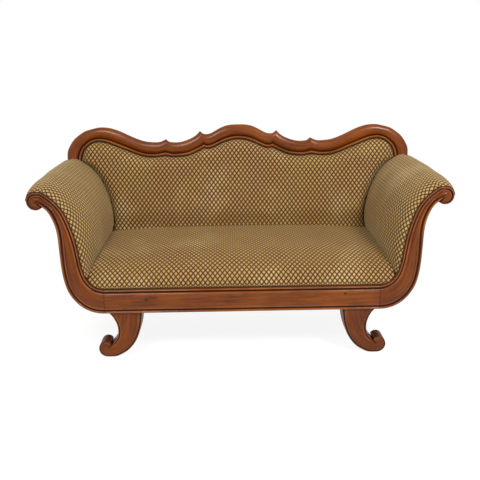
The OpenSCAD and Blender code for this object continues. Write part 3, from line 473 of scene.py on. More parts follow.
# %% Sizes and the lyre
WIDTH, DEPTH, HEIGHT = 1900.0, 750.0, 1014.0
RAIL_L, RAIL_H, RAIL_T, FOOT_H = 1274.0, 116.0, 62.0, 224.0
ARM_H, SCROLL_R, FACING_T, ARM_STUFFING = 799.0, 39.5, 46.0, 68.0
RAKE, CREST_T, SHOULDER_X, SHOULDER_Z = math.radians(9.65), 46.0, 919.0, 830.0
BACK_STUFFING, SEAT_H, SEAT_CROWN, SEAT_RISE, SEAT_ROLL = 36.0, 448.0, 20.0, 12.0, 104.0
FOOT_W, FOOT_REACH, FOOT_T, FOOT_R, FOOT_BACK, REAR_FOOT = 157.0, 213.0, 84.0, 41.0, 15.0, 58.0
BEAD_IN, BEAD_OUT, GROOVE, OVOLO = 9.0, 12.5, 5.5, 9.0
GROOVE_DROP, BEAD_DROP, EDGE_DROP = 9.5, 3.0, 13.0
CORD, CLOTH_T, AIR, LEAN_AIR = 6.0, 2.0, 0.3, 1.2
FRONT, SEAT_Z, HALF = -DEPTH / 2, FOOT_H + RAIL_H, RAIL_L / 2
REACH, RISE = WIDTH / 2 - HALF, ARM_H - FOOT_H
SCROLL_C = np.array([WIDTH / 2 - SCROLL_R, ARM_H - SCROLL_R])
LEAN_COS, LEAN_SIN = math.cos(RAKE), math.sin(RAKE)
BACK_SET = DEPTH - LEAN_SIN * (HEIGHT - SEAT_Z) / LEAN_COS - LEAN_COS * CREST_T
CUSHION_Y = FRONT + EDGE_DROP + CORD + AIR

lyre_outer = np.array([
    [0, 0], [80, 2], [169, 12], [249, 29], [329, 55], [406, 94], [473, 142], [524, 194], [556, 250],
    [578, 315], [591, 383], [597, 452], [601, 522], [604, 600], [613, 678], [636, 744], [674, 802],
    [722, 851], [773, 879], [796, 888], [815, 900],
]) / 1000 * [REACH, RISE] + [HALF, FOOT_H]
lyre_inner = np.array([
    [0, 0], [58, 7], [112, 20], [160, 39], [198, 63], [230, 92], [259, 126], [281, 166], [297, 209],
    [313, 261], [326, 331], [339, 399], [351, 464], [371, 534], [399, 610], [435, 688], [482, 773],
    [543, 845], [613, 904], [664, 937], [719, 967],
]) / 1000 * [REACH, ARM_H - SEAT_Z] + [HALF, SEAT_Z]


def around(centre, radius, degrees):
    """Points on a circle."""
    a = np.radians(degrees)
    return centre + np.asarray(radius).reshape(-1, 1) * np.stack([np.cos(a), np.sin(a)], axis=-1)


def scroll_edge(a):
    """The scroll's rim: a circle that swells where the arm runs into it."""
    return around(SCROLL_C, SCROLL_R * (1 + 0.2 * np.maximum(0, (a - 95) / 33) ** 2), a)


def up_lean(z):
    """Height z measured along the leaning back, from the rail."""
    return (z - SEAT_Z) / LEAN_COS


def back_y(z):
    """Where the leaning plane of the back stands at height z."""
    return FRONT + BACK_SET + LEAN_SIN * up_lean(z)


def leaned(points):
    """Points drawn upright on the back (x, depth, height along the lean) set leaning about a level
    line: y = depth cos + height sin, z = height cos - depth sin."""
    x, y, v = points[..., 0], points[..., 1], points[..., 2]
    y, z = y * LEAN_COS + v * LEAN_SIN, v * LEAN_COS - y * LEAN_SIN
    return xyz(x, FRONT + BACK_SET + y, SEAT_Z + z)


print("the back stands", round(BACK_SET), "mm behind the front at rail height")

# %% [markdown]
# ## One moulding for rail, arms and feet
# The same moulding runs along the front rail, up both arms and down the feet: a bead beside the
# cloth, a groove, a raised panel with rounded edges, another groove, and a bead at the outer edge.
# It shrinks as one where the strip grows narrow, so the beads run right into the scroll. One mark
# darkens it: old polish in the grooves, and painted shade at the foot of the rounded edges, on a
# round panel's sides and, almost as much, on its side walls. The other lightens the bead crowns and
# the tops of the rounded edges, partly as wear and partly as a painted highlight.

# %% The moulding
# Per column of half a moulding: old polish in the groove, painted shade at the edge and the foot of
# the rounded edge.
HALF_POLISH_AND_SHADE = np.array([.7] + [0] * 11 + [.9, 1, 1, .7, .4, .2, 0, 0, 0])
# Per column: lighter as wear and as a painted highlight on the bead crown and the top of the
# rounded edge.
HALF_WEAR_AND_HIGHLIGHT = np.array([0] * 3 + [.1, .5, .9, 1, .9, .5, .1] + [0] * 6 + [.1, .4, .8, .8, .4])
# Painted shade on the side walls, in the same darkening mark.
SIDE_SHADE, JOINT_SINK = 0.7, 0.9


def moulding(width, deep, inner_share, outer_share, swell):
    """Across strips of some widths (m): distance from the inner edge, depth behind the panel's
    crown, and the two marks, each (m, n). Beads are half ellipses, the panel's edges are quarter
    ellipses, and its face is halfway between a parabola and an ellipse. Where swell goes from 0 to
    1 the panel grows round and all beside it sinks. Each half is scaled by k = min(1, width / full)
    times its own share, and its depth by the root of that."""
    full = BEAD_IN + BEAD_OUT + 2 * GROOVE + 3 * OVOLO
    width = width[:, None]
    k = np.minimum(1, width / full)
    turn = np.radians(np.linspace(0, 180, 13))
    quarter = np.radians(np.linspace(0, 90, 7))[1:]
    w = swell + 0 * k
    edge, groove = EDGE_DROP + 4 * w, GROOVE_DROP + 5.5 * w
    crown, fall = BEAD_DROP + 4.5 * w, 0.9 + 12 * w

    def half(bead, k):
        """From the edge to the panel: bead, groove and rounded edge."""
        low = np.where(turn < math.pi / 2, edge, groove)
        s = join([
            bead / 2 * (1 - np.cos(turn)), [bead + GROOVE * 0.5, bead + GROOVE],
            bead + GROOVE + OVOLO * (1 - np.cos(quarter)),
        ])
        d = join([
            low - (low - crown) * np.sin(turn), groove + 0.6, groove,
            groove - (groove - fall) * np.sin(quarter),
        ], axis=1)
        return s * k, d * np.sqrt(k)

    k_out = k * outer_share
    (s_in, d_in), (s_out, d_out) = half(BEAD_IN, k * inner_share), half(BEAD_OUT, k_out)
    s_out = width - s_out
    share = np.linspace(0, 1, 11)[1:-1]
    off = (2 * share - 1) ** 2
    s_mid = s_in[:, -1:] + (s_out[:, -1:] - s_in[:, -1:]) * share
    d_mid = np.where(share < 0.5, d_in[:, -1:], d_out[:, -1:]) * (off + 1 - np.sqrt(1 - off)) / 2
    rear = np.ones((len(width), 2))
    distance = join([s_in, s_mid, s_out[:, ::-1], width, 0 * width], axis=1)
    depth = join([d_in, d_mid, d_out[:, ::-1], deep * rear], axis=1)
    near_eye = part(2.5 * k_out)

    def mark(half_mark, face, side):
        inner = np.broadcast_to(half_mark, s_in.shape)
        return join([inner, face, near_eye * half_mark[::-1], side * rear], axis=1)

    # Painted shade on a swelling panel's sides and on the side walls; old polish in the grooves.
    hollow = mark(HALF_POLISH_AND_SHADE, 0.5 * off ** 2 * w * near_eye, SIDE_SHADE)
    # Lighter bead crowns: wear and a painted highlight.
    return distance, depth, {"hollow": hollow, "rubbed": mark(HALF_WEAR_AND_HIGHLIGHT, 0 * s_mid, 0)}


def strip(inner, outer, deep, front, shift=0.0, inner_share=1.0, outer_share=1.0, swell=0.0):
    """Rings (m, n, 3) of a moulded strip between two plan lines (m, 2), its marks and its UV:
    point = inner + distance * unit(outer - inner), at a depth behind the front. The two shares and
    the swell are numbers or columns (m, 1)."""
    width = np.linalg.norm(outer - inner, axis=1)
    distance, depth, marks = moulding(width, deep, inner_share, outer_share, swell)
    plan = inner[:, None] + distance[..., None] * unit(outer - inner)[:, None]
    rings = xyz(plan[..., 0], front + depth, plan[..., 1])
    girth = run(join([rings, rings[:, :1]], axis=1), 1)
    return rings, marks, uv_map(run((inner + outer) / 2)[:, None] + shift, girth)


def ease_end(rings, marks, end):
    """The end ring stands back a little and is dark, which leaves a fine V at a joint."""
    rings[end, :-2, 1] += JOINT_SINK
    marks["hollow"][end] = 1


print("a moulding's marks have", len(HALF_POLISH_AND_SHADE), "places in each half")

# %% [markdown]
# ## The front rail
# The rail is one straight board, so two profiles would do. More of them near the ends give the fine
# V of the joints with the arms.

# %% Front rail
ends = np.array([0, 2.0, 3.2])
line = join([ends - HALF, np.linspace(60 - HALF, HALF - 60, 20), HALF - ends[::-1]])
rail_top = np.stack([line, np.full_like(line, SEAT_Z)], axis=1)
rings, marks, uv = strip(rail_top, rail_top - [0, RAIL_H], RAIL_T, FRONT)
ease_end(rings, marks, 0)
ease_end(rings, marks, -1)
front_rail = loft("front_rail_moulded", rings, uv, rail_mahogany, marks)
settle(front_rail, "polished_mahogany", "front_rail")

# %% [markdown]
# ## The arm facings
# Each facing is a lyre cut from thick board. The moulding follows it and winds into the scroll:
# the inner bead runs around the scroll's rim, the outer bead dies away at the neck, and the panel,
# which grows rounder on its way up, ends as a plump boss inside the rim.

# %% Arm facings
STEP = 0.16
wound = 128 - np.arange(0, 257, 16.0)
eye_c = SCROLL_C + np.array([-0.10, -0.16]) * SCROLL_R
t = join([[0, 0.1], np.arange(STEP, len(lyre_inner) + len(wound) - 1, STEP)])
arm_in = spline(join([lyre_inner, scroll_edge(wound)]), t)
arm_out = spline(join([lyre_outer, around(eye_c, 0.02 * SCROLL_R, wound)]), t)
t = t[:, None]
dying = 1 - 0.97 * ease((t - len(lyre_inner) + 2) / 3)
for (side, turn), shift in zip(SIDES, (3300, 5900)):
    rings, marks, uv = strip(
        arm_in, arm_out, FACING_T, FRONT, shift, outer_share=dying, swell=part(t / 8),
    )
    ease_end(rings, marks, 0)
    piece = loft("arm_facing_moulded_" + side, turn(rings), uv, shaded_mahogany, marks)
    settle(piece, "polished_mahogany", "arm_facing_" + side)

# %% [markdown]
# ## The front feet
# Each foot is a curved bracket that sweeps outwards and rolls into a scroll resting on the floor.
# Its face is nearly plain, with a small bead along each edge.

# %% Front feet
foot_in = np.array([
    [0, 1000], [12, 888], [30, 785], [56, 682], [100, 570], [160, 453], [245, 336], [360, 224],
    [505, 126], [685, 50], [870, 0],
]) / 1000
foot_out = np.array([
    [1000, 1000], [904, 925], [828, 832], [777, 738], [752, 645], [752, 551], [771, 477],
    [803, 420], [847, 374], [900, 327], [935, 290],
]) / 1000
foot_x = HALF - FOOT_W - BEAD_OUT
foot_c = np.array([foot_x + FOOT_REACH - FOOT_R, FOOT_R])
curl = np.arange(0, 221, 20.0) - 90
rim = around(foot_c, FOOT_R * (1 - 0.3 * np.maximum(0, (curl - 60) / 70) ** 1.2), curl)
foot_eye = around(foot_c + np.array([-0.14, 0.2]) * FOOT_R, 0.05 * FOOT_R, curl)
t = np.arange(0, len(foot_in) + len(curl) - 1, STEP)
scale, start = np.array([FOOT_W, FOOT_H]), np.array([foot_x, 0])
inner = spline(join([foot_in * scale + start, rim]), t)
outer = spline(join([foot_out * scale + start, foot_eye]), t)
narrow = 0.5 - 0.47 * part((t - len(foot_in) + 2) / 3)[:, None]
for (side, turn), shift in zip(SIDES, (900, 1900)):
    rings, marks, uv = strip(inner, outer, FOOT_T, FRONT + FOOT_BACK, shift, 0.6, narrow, 0.15)
    rings[..., 2] = np.clip(rings[..., 2], 0, FOOT_H)
    piece = loft("front_foot_moulded_" + side, turn(rings), uv, shaded_mahogany, marks)
    settle(piece, "polished_mahogany", "front_foot_" + side)

# %% [markdown]
# ## The serpentine crest
# The top rail rises and falls in a serpentine line that breaks at four small cusps. A spline would
# round the cusps off, so each half is three splines that meet there. Its points are thousandths of
# the way to the shoulder and of the rise above it. Across it run a bead, a groove and a fat roll.

# %% Crest
crest_out = np.array([
    [0, 1000], [49, 990], [85, 946], [118, 870], [147, 790], [169, 745], [187, 733], [205, 750],
    [223, 826], [241, 728], [261, 658], [285, 598], [316, 545], [350, 512], [381, 512], [405, 535],
    [422, 603], [440, 558], [462, 523], [500, 523], [539, 545], [577, 598], [615, 674], [653, 761],
    [696, 859], [740, 930], [775, 957], [811, 957], [847, 920], [888, 864], [917, 784], [947, 674],
    [969, 555], [988, 400], [998, 270], [1000, 130], [1000, 0],
]) / 1000
crest_in = np.array([
    [0, 600], [38, 578], [72, 534], [103, 470], [133, 400], [160, 348], [180, 336], [190, 344],
    [196, 361], [207, 334], [225, 290], [254, 225], [285, 160], [316, 127], [354, 108], [386, 110],
    [429, 146], [458, 124], [479, 110], [506, 108], [539, 120], [571, 158], [605, 217], [642, 293],
    [683, 370], [729, 462], [767, 533], [804, 565], [836, 555], [863, 500], [879, 435], [893, 370],
    [904, 300], [912, 207], [917, 125], [920, 50], [921.5, 0],
]) / 1000
CUSPS = (0, 8, 16, 36)
STEPS_EACH = 5
CREST_DROP, BEAD_SINK, BEAD_RISE, GROOVE_SINK = 20.0, 20.0, 11.6, 20.5
BEAD_END, GROOVE_AT, ROLL_START = 0.2, 0.212, 0.225


def both_halves(half):
    """A line from the middle outwards, and its mirror image before it."""
    return join([half[:0:-1] * [-1, 1], half])


def crest_line(shares):
    """Half a crest line from the middle to the shoulder, as x and height along the lean. The first
    spline is mirrored over the middle so that it is level there."""
    place = shares * [SHOULDER_X, HEIGHT - SHOULDER_Z] + [0, SHOULDER_Z]
    place[:, 1] = up_lean(place[:, 1])
    parts = [place[:1]]
    for first, last in zip(CUSPS[:-1], CUSPS[1:]):
        span = place[first:last + 1]
        steps = np.linspace(0, last - first, (last - first) * STEPS_EACH + 1)[1:]
        if first == 0:
            span, steps = both_halves(span), steps + last
        parts.append(spline(span, steps))
    return join(parts)


right_in, right_out = crest_line(crest_in), crest_line(crest_out)
outwards = unit(right_out - right_in)
full_in, full_out = both_halves(right_in), both_halves(right_out)
width = np.linalg.norm(full_out - full_in, axis=1)[:, None]
# Across: a half ellipse as the bead, a groove, and another raised to a power a little under one as
# the roll, so that it stays plump.
turn = np.radians(np.linspace(0, 180, 9))
low = np.where(turn < math.pi / 2 + 0.01, BEAD_SINK, BEAD_SINK - 0.5)
roll_turn = np.radians(np.linspace(0, 180, 25))
roll_share = ROLL_START + (1 - ROLL_START) * (1 - np.cos(roll_turn)) / 2
share = join([BEAD_END / 2 * (1 - np.cos(turn)), [GROOVE_AT], roll_share, [1, 0]])
roll_depth = CREST_DROP * (1 - np.sin(roll_turn).clip(0) ** 0.86)
depth = join([low - BEAD_RISE * np.sin(turn), [GROOVE_SINK], roll_depth, [CREST_T] * 2])
s = share * width
plan = full_in[:, None] + s[..., None] * unit(full_out - full_in)[:, None]
rings = leaned(xyz(plan[..., 0], depth, plan[..., 1]))
seen_side = depth < CREST_T
marks = {
    # Old polish in the crest's groove, and painted shade on its sides.
    "hollow": np.where(seen_side, np.exp(-((share - 0.215) / 0.035) ** 2), SIDE_SHADE) + 0 * s,
    # Wear and a painted highlight along the bead's crown.
    "rubbed": np.exp(-((share - 0.09) / 0.06) ** 2) * seen_side + 0 * s,
}
uv = uv_map(run((full_in + full_out) / 2)[:, None], join([s, 2 * width], axis=1))
crest = loft("crest_moulded", rings, uv, mahogany, marks, sharp=30)
settle(crest, "polished_mahogany", "crest_rail")

# %% [markdown]
# ## Uneven stuffing
# Hair stuffing is never quite even, so a tight cover shows soft dips. Cloth blown up from inside
# took three minutes and looked no different, so the dips are worked in by moving points, with
# sines whose lengths don't share a rhythm.


# %% Unevenness
DIP = 4.8


def dips(a, b):
    """From -DIP to 0 over two lengths in mm: DIP (w - 2) / 4, where w is sin(a/71 + 1.3) sin(b/83)
    + 0.6 sin(a/37 + b/59) + 0.4 sin(a/151 - b/43 + 2)."""
    wave = np.sin(a / 71 + 1.3) * np.sin(b / 83) + 0.6 * np.sin(a / 37 + b / 59)
    return DIP * (wave + 0.4 * np.sin(a / 151 - b / 43 + 2) - 2) / 4


line = np.arange(2e3)
print("the dips are", round(-float(dips(line, line).mean()), 1), "mm deep on average")

# %% [markdown]
# ## The arm pads
# The stuffing follows the lyre's inner edge from the seat and wraps over the scroll. It swells up
# from the facing in one long full curve, and its rear ends at the back. One parameter runs along
# the arm and the other from front to rear, which are the cloth's own two directions. Near its
# edges a cushion is firm, and the dips fade out towards them.

# %% Arm pads
arm_path = join([lyre_inner, scroll_edge(128 - 16.0 * np.arange(13))])
stuffed = np.array([
    .3, .43, .56, .68, .84, .9, .92, .93, .93, .9, .86, .82, .8, .76, .72, .67, .62, .58, .54, .49,
    .42, .33, .22, .13, .08, .05, .05, .05,
])
FIRST, FULL_ROW = 6, 45
PAD_RUN, SEAT_RUN = 450.0, 330.0
CLIMB, CLIMB_END, FADE, FIRM = 900.0, 820.0, 120.0, 20.0


def normals(path):
    """Unit vectors to the left of a path, by central differences."""
    d = unit(np.gradient(path, axis=0))
    return np.stack([-d[:, 1], d[:, 0]], axis=1)


def roll(t):
    """A quarter ellipse from 0 to 1."""
    return np.sqrt(1 - (1 - part(t)) ** 2)


def dome(t):
    """A full curve from 0 to 1, steep at first and then long and slow: (1 - (1 - t)^3)^(1/2)."""
    return np.sqrt(1 - (1 - part(t)) ** 3)


t = np.linspace(FIRST, len(arm_path) - 1, 170)
pad_path = spline(arm_path, t)
pad_out = normals(pad_path)
pad_depth = spline(stuffed, t - FIRST) * ARM_STUFFING
steps = join([np.linspace(0, 1, 30) ** 2 * 130, np.linspace(140, PAD_RUN, 30)])[:, None]
rest = np.linspace(0, 1, 14)[1:, None]


def pad_sheet(lift):
    """Points (m, n, 3) of the pad's cloth: path + normal * (air + lift * (cloth + dome * stuffing
    + dips)), carried from the facing to the leaning back."""
    climb = np.linspace(0, CLIMB, len(pad_path))
    loose = part((pad_path[:, 1] - SEAT_H - FIRM) / 60) * part((CLIMB_END - climb) / FADE)
    loose = loose * part((steps - 1.5 * FIRM) / FADE) * part((PAD_RUN - steps) / FADE)
    stuffing = CLOTH_T + dome(steps / PAD_RUN) * pad_depth + loose * dips(steps, climb)
    face = pad_path + pad_out * (AIR + stuffing * lift)[..., None]
    start, end = CUSHION_Y + PAD_RUN, back_y(face[-1, :, 1]) - AIR / LEAN_COS
    depth = join([CUSHION_Y + steps + 0 * climb, start + rest * (end - start)])
    face = join([face, np.repeat(face[-1:], len(rest), axis=0)])
    return xyz(face[..., 0], depth, face[..., 1])


over, under = pad_sheet(1.0), pad_sheet(0.0)
rings = join([over, under[:, ::-1]], axis=1)
back_run, along = run(over), run(over[FULL_ROW])
arm_uv = uv_map(
    join([back_run, back_run[:, ::-1], back_run[:, :1]], axis=1),
    join([along, along[::-1], along[:1]]),
)
for side, turn in SIDES:
    piece = loft("arm_pad_" + side, turn(rings), arm_uv, sheen_arm_cover, sharp=60)
    settle(piece, "lattice_cloth", "arm_cushion_" + side)

# %% [markdown]
# ## The seat
# The seat is crowned in the middle and its sides pull in between the arms. Its front swells up
# from the rail in the same full curve as the arms, so it has no hard edge to sit on.

# %% Seat
SEAT_BASE, BACK_LOW = SEAT_Z + CLOTH_T + 2 * AIR, 12.0
BACK_GAP = (BACK_LOW + AIR + LEAN_AIR) / LEAN_COS
below_scroll = int(np.searchsorted(t, len(lyre_inner) + 1))
low_path = spline(arm_path, np.linspace(0, FIRST, 30))
seat_rear = back_y(SEAT_BASE) - BACK_GAP
seat_depth = seat_rear - CUSHION_Y
side_share = np.linspace(0, 0.965, 26)
top_share = join([[0.99, 0.978, 0.96], np.linspace(0.93, 0, 60)])


def arm_face_x(z, lift):
    """Where the arm pad's cloth stands at height z, by looking along its path."""
    face = pad_path + pad_out * (AIR + CLOTH_T + lift * pad_depth)[:, None]
    return np.interp(z, face[:below_scroll, 1], face[:below_scroll, 0])


def side_x(z, lift):
    """How far a cushion reaches sideways: to the facing's edge low down, else to the pad."""
    leaning = arm_face_x(z, lift) - LEAN_AIR
    facing = np.interp(z, low_path[:, 1], low_path[:, 0]) - AIR
    return np.where(z < arm_path[FIRST][1], np.minimum(facing, leaning), leaning)


def seat_ring(step):
    """Half a ring a step behind the front edge, from the rail up the side and over the crown, then
    mirrored. The last one lies against the leaning back."""
    up = 0.05 + 0.95 * dome(step / SEAT_RUN)
    high = SEAT_H + max(0.0, (step - SEAT_ROLL) / (seat_depth - SEAT_ROLL)) * SEAT_RISE
    z = SEAT_BASE + side_share * (high - SEAT_BASE) * up
    x = side_x(z, dome(step / PAD_RUN))
    crown = SEAT_BASE + (high + SEAT_CROWN * (1 - top_share ** 2.6) - SEAT_BASE) * up
    x, z = join([x, top_share * x[-1]]), join([z, crown])
    x, z = join([x, -x[-2::-1]]), join([z, z[-2::-1]])
    return xyz(x, CUSHION_Y + step if step < seat_depth else back_y(z) - BACK_GAP, z)


places = join([
    np.linspace(0, 1, 34) ** 2 * 150, np.linspace(160, seat_depth - 30, 34), [seat_depth],
])
rings = np.stack([seat_ring(step) for step in places])
x, y, z = rings[..., 0], rings[..., 1], rings[..., 2]
share = abs(x) / abs(x).max(axis=1, keepdims=True)
within = part((0.9 - share) / 0.2) * (z > SEAT_BASE + FIRM)
within = within * part((y - CUSHION_Y - FIRM) / 90) * part((seat_rear - 3 * FIRM - y) / 90)
rings[..., 2] += within * dips(x, y)
middle = rings[:, rings.shape[1] // 2]
uv = uv_map(join([x, x[:, :1]], axis=1), run(middle)[:, None])
seat = loft("seat_upholstered", rings, uv, cover, sharp=60)
settle(seat, "lattice_cloth", "seat_cushion")

# %% [markdown]
# ## The back
# The back's stuffing is held by the crest's inner edge above and by the arm pads at its sides. It
# swells forward from a low edge at the seat, and rounds down to the crest like a tight pillow. Its
# upper corner is at point 31 of the crest's inner edge: rows below it are level, and those above
# bend towards the crest's own line.

# %% Back
CORNER = 31 * STEPS_EACH
BACK_EDGE, BACK_REAR = CREST_T * 0.43, CREST_T * 0.53
BACK_BASE, BACK_TURN = SEAT_Z + 12.0, SHOULDER_Z + 4 * LEAN_AIR
edge = right_in - (CORD + AIR) * outwards
edge_x, edge_z = edge[:, 0], SEAT_Z + edge[:, 1] * LEAN_COS
corner_x = edge_x[CORNER]
near = 1 - np.linspace(0, 1, 16) ** 1.8 * 0.10
half_columns = np.unique(join([near, edge_x[:CORNER + 1:3] / corner_x, [0]]))
columns = join([-half_columns[:0:-1], half_columns])


def under_crest(x):
    return np.interp(abs(x), edge_x[:CORNER + 1], edge_z[:CORNER + 1])


def beside_crest(z):
    return np.interp(z, edge_z[:CORNER - 1:-1], edge_x[:CORNER - 1:-1])


def back_rows(z, w, top):
    """Rows of the cloth at heights z, with a half width w and the crest's edge at top. Depth: from
    the tacked edge forward by the swell times a quarter ellipse of the distance d to the nearest
    edge. The swell is low at the seat and flatter towards the sides."""
    x = columns * w
    d = np.minimum(w - abs(x), top - z)
    full = ease((z - SEAT_H - 2 * BACK_LOW) / (2.6 * BACK_STUFFING))
    swell = (BACK_LOW + (BACK_STUFFING - BACK_LOW) * full) * (1 - 0.18 * (x / w) ** 2)
    swell = swell + dips(x, z) * ease(d / 140) * ease((z - SEAT_H - 2 * FIRM) / 80)
    depth = BACK_EDGE - (BACK_EDGE + swell) * roll(d / (1.7 * BACK_STUFFING))
    return xyz(x, depth, up_lean(z))


z = np.linspace(BACK_BASE, BACK_TURN, 56)[:, None]
beside_arm = np.where(z < SHOULDER_Z + LEAN_AIR, side_x(z, 1.0), np.inf)
w = np.minimum(beside_arm, beside_crest(z))
lower = back_rows(z, w, under_crest(np.minimum(abs(columns * w), corner_x)))
share = 1 - np.linspace(1, 0, 30)[1:, None] ** 1.6
top = under_crest(columns * corner_x)
w = beside_crest(BACK_TURN + share * (edge_z[CORNER] - BACK_TURN))
w[-1] = corner_x
grid = join([lower, back_rows(BACK_TURN + share * (top - BACK_TURN), w, top)])
m, n = grid.shape[:2]
loop = border(m, n)
flat = grid.reshape(-1, 3)
points = join([flat, flat[loop] * [1, 0, 1] + [0, BACK_REAR, 0]])
rear = m * n + np.arange(len(loop))
walls = np.stack([loop, np.roll(loop, -1), np.roll(rear, -1), rear], axis=1)
width_run = run(grid[..., :2], 1)
cloth_uv = uv_map(width_run - width_run[:, n // 2, None], run(grid[..., 1:])).reshape(-1, 2)
cloth_uv = join([cloth_uv, cloth_uv[loop]])
faces = join([corners(m, n), walls])
uv = join([cloth_uv[faces].reshape(-1, 2), cloth_uv[rear]])
faces = [*faces.tolist(), rear.tolist()]
back = make("back_upholstered", leaned(points), faces, uv, cover, sharp=60)
settle(back, "lattice_cloth", "back_cushion")

# %% [markdown]
# ## Twisted cord over the tacks
# A dark twisted cord covers the tacked edge of the cloth beside the wood. It is a tube with three
# lobes that turn as it goes, so they wind like strands.

# %% Cords
CORD_PITCH, CORD_STEP, SLIM, STOUT = 14.0, 1.6, 2.2, 2.4
SEAT_LIFT, ARM_LIFT, CREST_LIFT = 2.0, 1.9, 2.6
CORD_Y = FRONT + EDGE_DROP + CORD / 2


def twisted_cord(name, node, path, radius):
    """A tube along a path (n, 3): r = radius * (1 + 0.16 cos(3 a - 2 pi s / pitch)), where a is the
    angle around and s the distance run, on two unit vectors square to the path."""
    length = run(path)
    s = np.arange(0, length[-1], CORD_STEP)
    line = np.stack([np.interp(s, length, path[:, k]) for k in range(3)], axis=1)
    ahead = unit(np.gradient(line, axis=0))
    one = unit(np.cross(ahead, [0.0, 1.0, 0.0]))
    two = np.cross(ahead, one)
    s, a = s[:, None], np.linspace(0, 2 * math.pi, 13)
    r = radius * (1 + 0.16 * np.cos(3 * a - 2 * math.pi * s / CORD_PITCH))
    around_it = np.stack([r * np.cos(a), r * np.sin(a)], axis=-1) @ np.stack([one, two], axis=1)
    rings = line[:, None] + around_it[:, :-1]
    piece = loft(name, rings, uv_map(s, radius * a), cord_finish, sharp=75)
    settle(piece, "braid", node)


path = xyz(np.linspace(-HALF, HALF, 3), CORD_Y, SEAT_Z + SEAT_LIFT)
twisted_cord("seat_cord", "seat_gimp", path, SLIM)
plan = spline(arm_path, np.linspace(0, 29, 400))
plan = plan + normals(plan) * ARM_LIFT
path = xyz(plan[:, 0], CORD_Y, np.maximum(plan[:, 1], SEAT_Z + ARM_LIFT))
for side, turn in SIDES:
    twisted_cord("arm_cord_" + side, "arm_gimp_" + side, turn(path), SLIM)
plan = both_halves(right_in - CREST_LIFT * outwards)
path = leaned(xyz(plan[:, 0], BACK_EDGE - STOUT, plan[:, 1]))
twisted_cord("back_cord", "back_gimp", path, STOUT)

# %% [markdown]
# ## Sheets of cloth
# The outside of each arm and the whole back are covered with flat sheets of the same cloth, and
# black cotton closes the frame from below. Each is stretched and tacked, and is a thin solid with
# its cut size written down.


# %% Sheets
def plate_sheet(name, face, normal, uv):
    """A sheet from a grid of points (m, n, 3) given a thickness along a normal."""
    m, n = face.shape[:2]
    cells, loop = corners(m, n), border(m, n)
    after = np.roll(loop, -1)
    walls = np.stack([loop, loop + m * n, after + m * n, after], axis=1)
    faces = join([cells, cells[:, ::-1] + m * n, walls])
    points = join([face, face + normal * CLOTH_T]).reshape(-1, 3)
    uv = join([uv, uv]).reshape(-1, 2)[faces].reshape(-1, 2)
    return make(name, points, faces.tolist(), uv, cover, sharp=50)


def size_of(grid):
    """Width and length of a grid of points along its middle rows, in metres."""
    middles = grid[len(grid) // 2], grid[:, grid.shape[1] // 2]
    return tuple(round(float(run(line)[-1]) / 1000, 3) for line in middles)


def area_of(grid, cells=None):
    """Area of a grid of points, or of some of its cells, in square metres, from half the cross
    product of each cell's diagonals."""
    cells = corners(*grid.shape[:2]) if cells is None else cells
    a, b, c, d = np.moveaxis(grid.reshape(-1, 3)[cells], 1, 0)
    return round(float(np.linalg.norm(np.cross(c - a, d - b), axis=1).sum() / 2e6), 4)


outer = spline(lyre_outer, np.linspace(8, 18, 60))
inward = normals(outer)
inward = xyz(inward[:, 0], 0, inward[:, 1])
start, end = FRONT + FACING_T, back_y(outer[:, 1])
depth = start + np.linspace(0, 1, 24)[:, None] * (end - start)
face = xyz(outer[:, 0], depth, outer[:, 1])
for side, turn in SIDES:
    uv = uv_map(depth, run(outer))
    piece = plate_sheet("outside_arm_cloth_" + side, turn(face), turn(inward), uv)
    settle(piece, "lattice_cloth", "outside_arm_" + side)
    size_of(face)
    area_of(face)
print("outside arm cloth is", size_of(face))

# %% [markdown]
# ## The outside of the back
# One sheet covers the whole back, from the seat rail to the crest. Its outline follows the arms'
# lyre below and the crest above, drawn in by a finger's width, where it is turned under and tacked.

# %% Outside back
INSET = 18.0
LOW_Z, HALF_TOP = FOOT_H + INSET, SHOULDER_X - INSET
side_line = spline(lyre_outer, np.linspace(2, 17, 60))
side_line = side_line + normals(side_line) * INSET
side_z = join([[LOW_Z], side_line[:, 1], [SHOULDER_Z]])
side_reach = join([[HALF - INSET], side_line[:, 0], [HALF_TOP]])
top_line = right_out - INSET * outwards
columns = np.linspace(-1, 1, 81)
z = np.linspace(LOW_Z, SHOULDER_Z, 40)[:, None]
lower = xyz(columns * np.interp(z, side_z, side_reach), CREST_T, up_lean(z))
x = columns * HALF_TOP
top = np.interp(abs(x), np.maximum.accumulate(top_line[:, 0]), top_line[:, 1])
shoulder = up_lean(SHOULDER_Z)
share = np.linspace(0, 1, 13)[1:, None]
upper = xyz(x, CREST_T, shoulder + share * np.maximum(top - shoulder, 1.0))
flat = join([lower, upper])
face = leaned(flat)
rearwards = np.array([0, LEAN_COS, -LEAN_SIN])
uv = uv_map(flat[..., 0], flat[..., 2])
outside_back = plate_sheet("outside_back_cloth", face, rearwards, uv)
settle(outside_back, "lattice_cloth", "outside_back")
cut = round(2 * HALF_TOP / 1000, 3), round(float(np.ptp(flat[..., 2])) / 1000, 3)
area_of(face)
print("outside back cloth is", cut[0], "by", cut[1], "m")

# %% [markdown]
# ## The lining below
# A piece of black cotton is tacked under the rails so that no dust falls out. It is cut out around
# the four feet, so its grid is made of the cells between their edges.

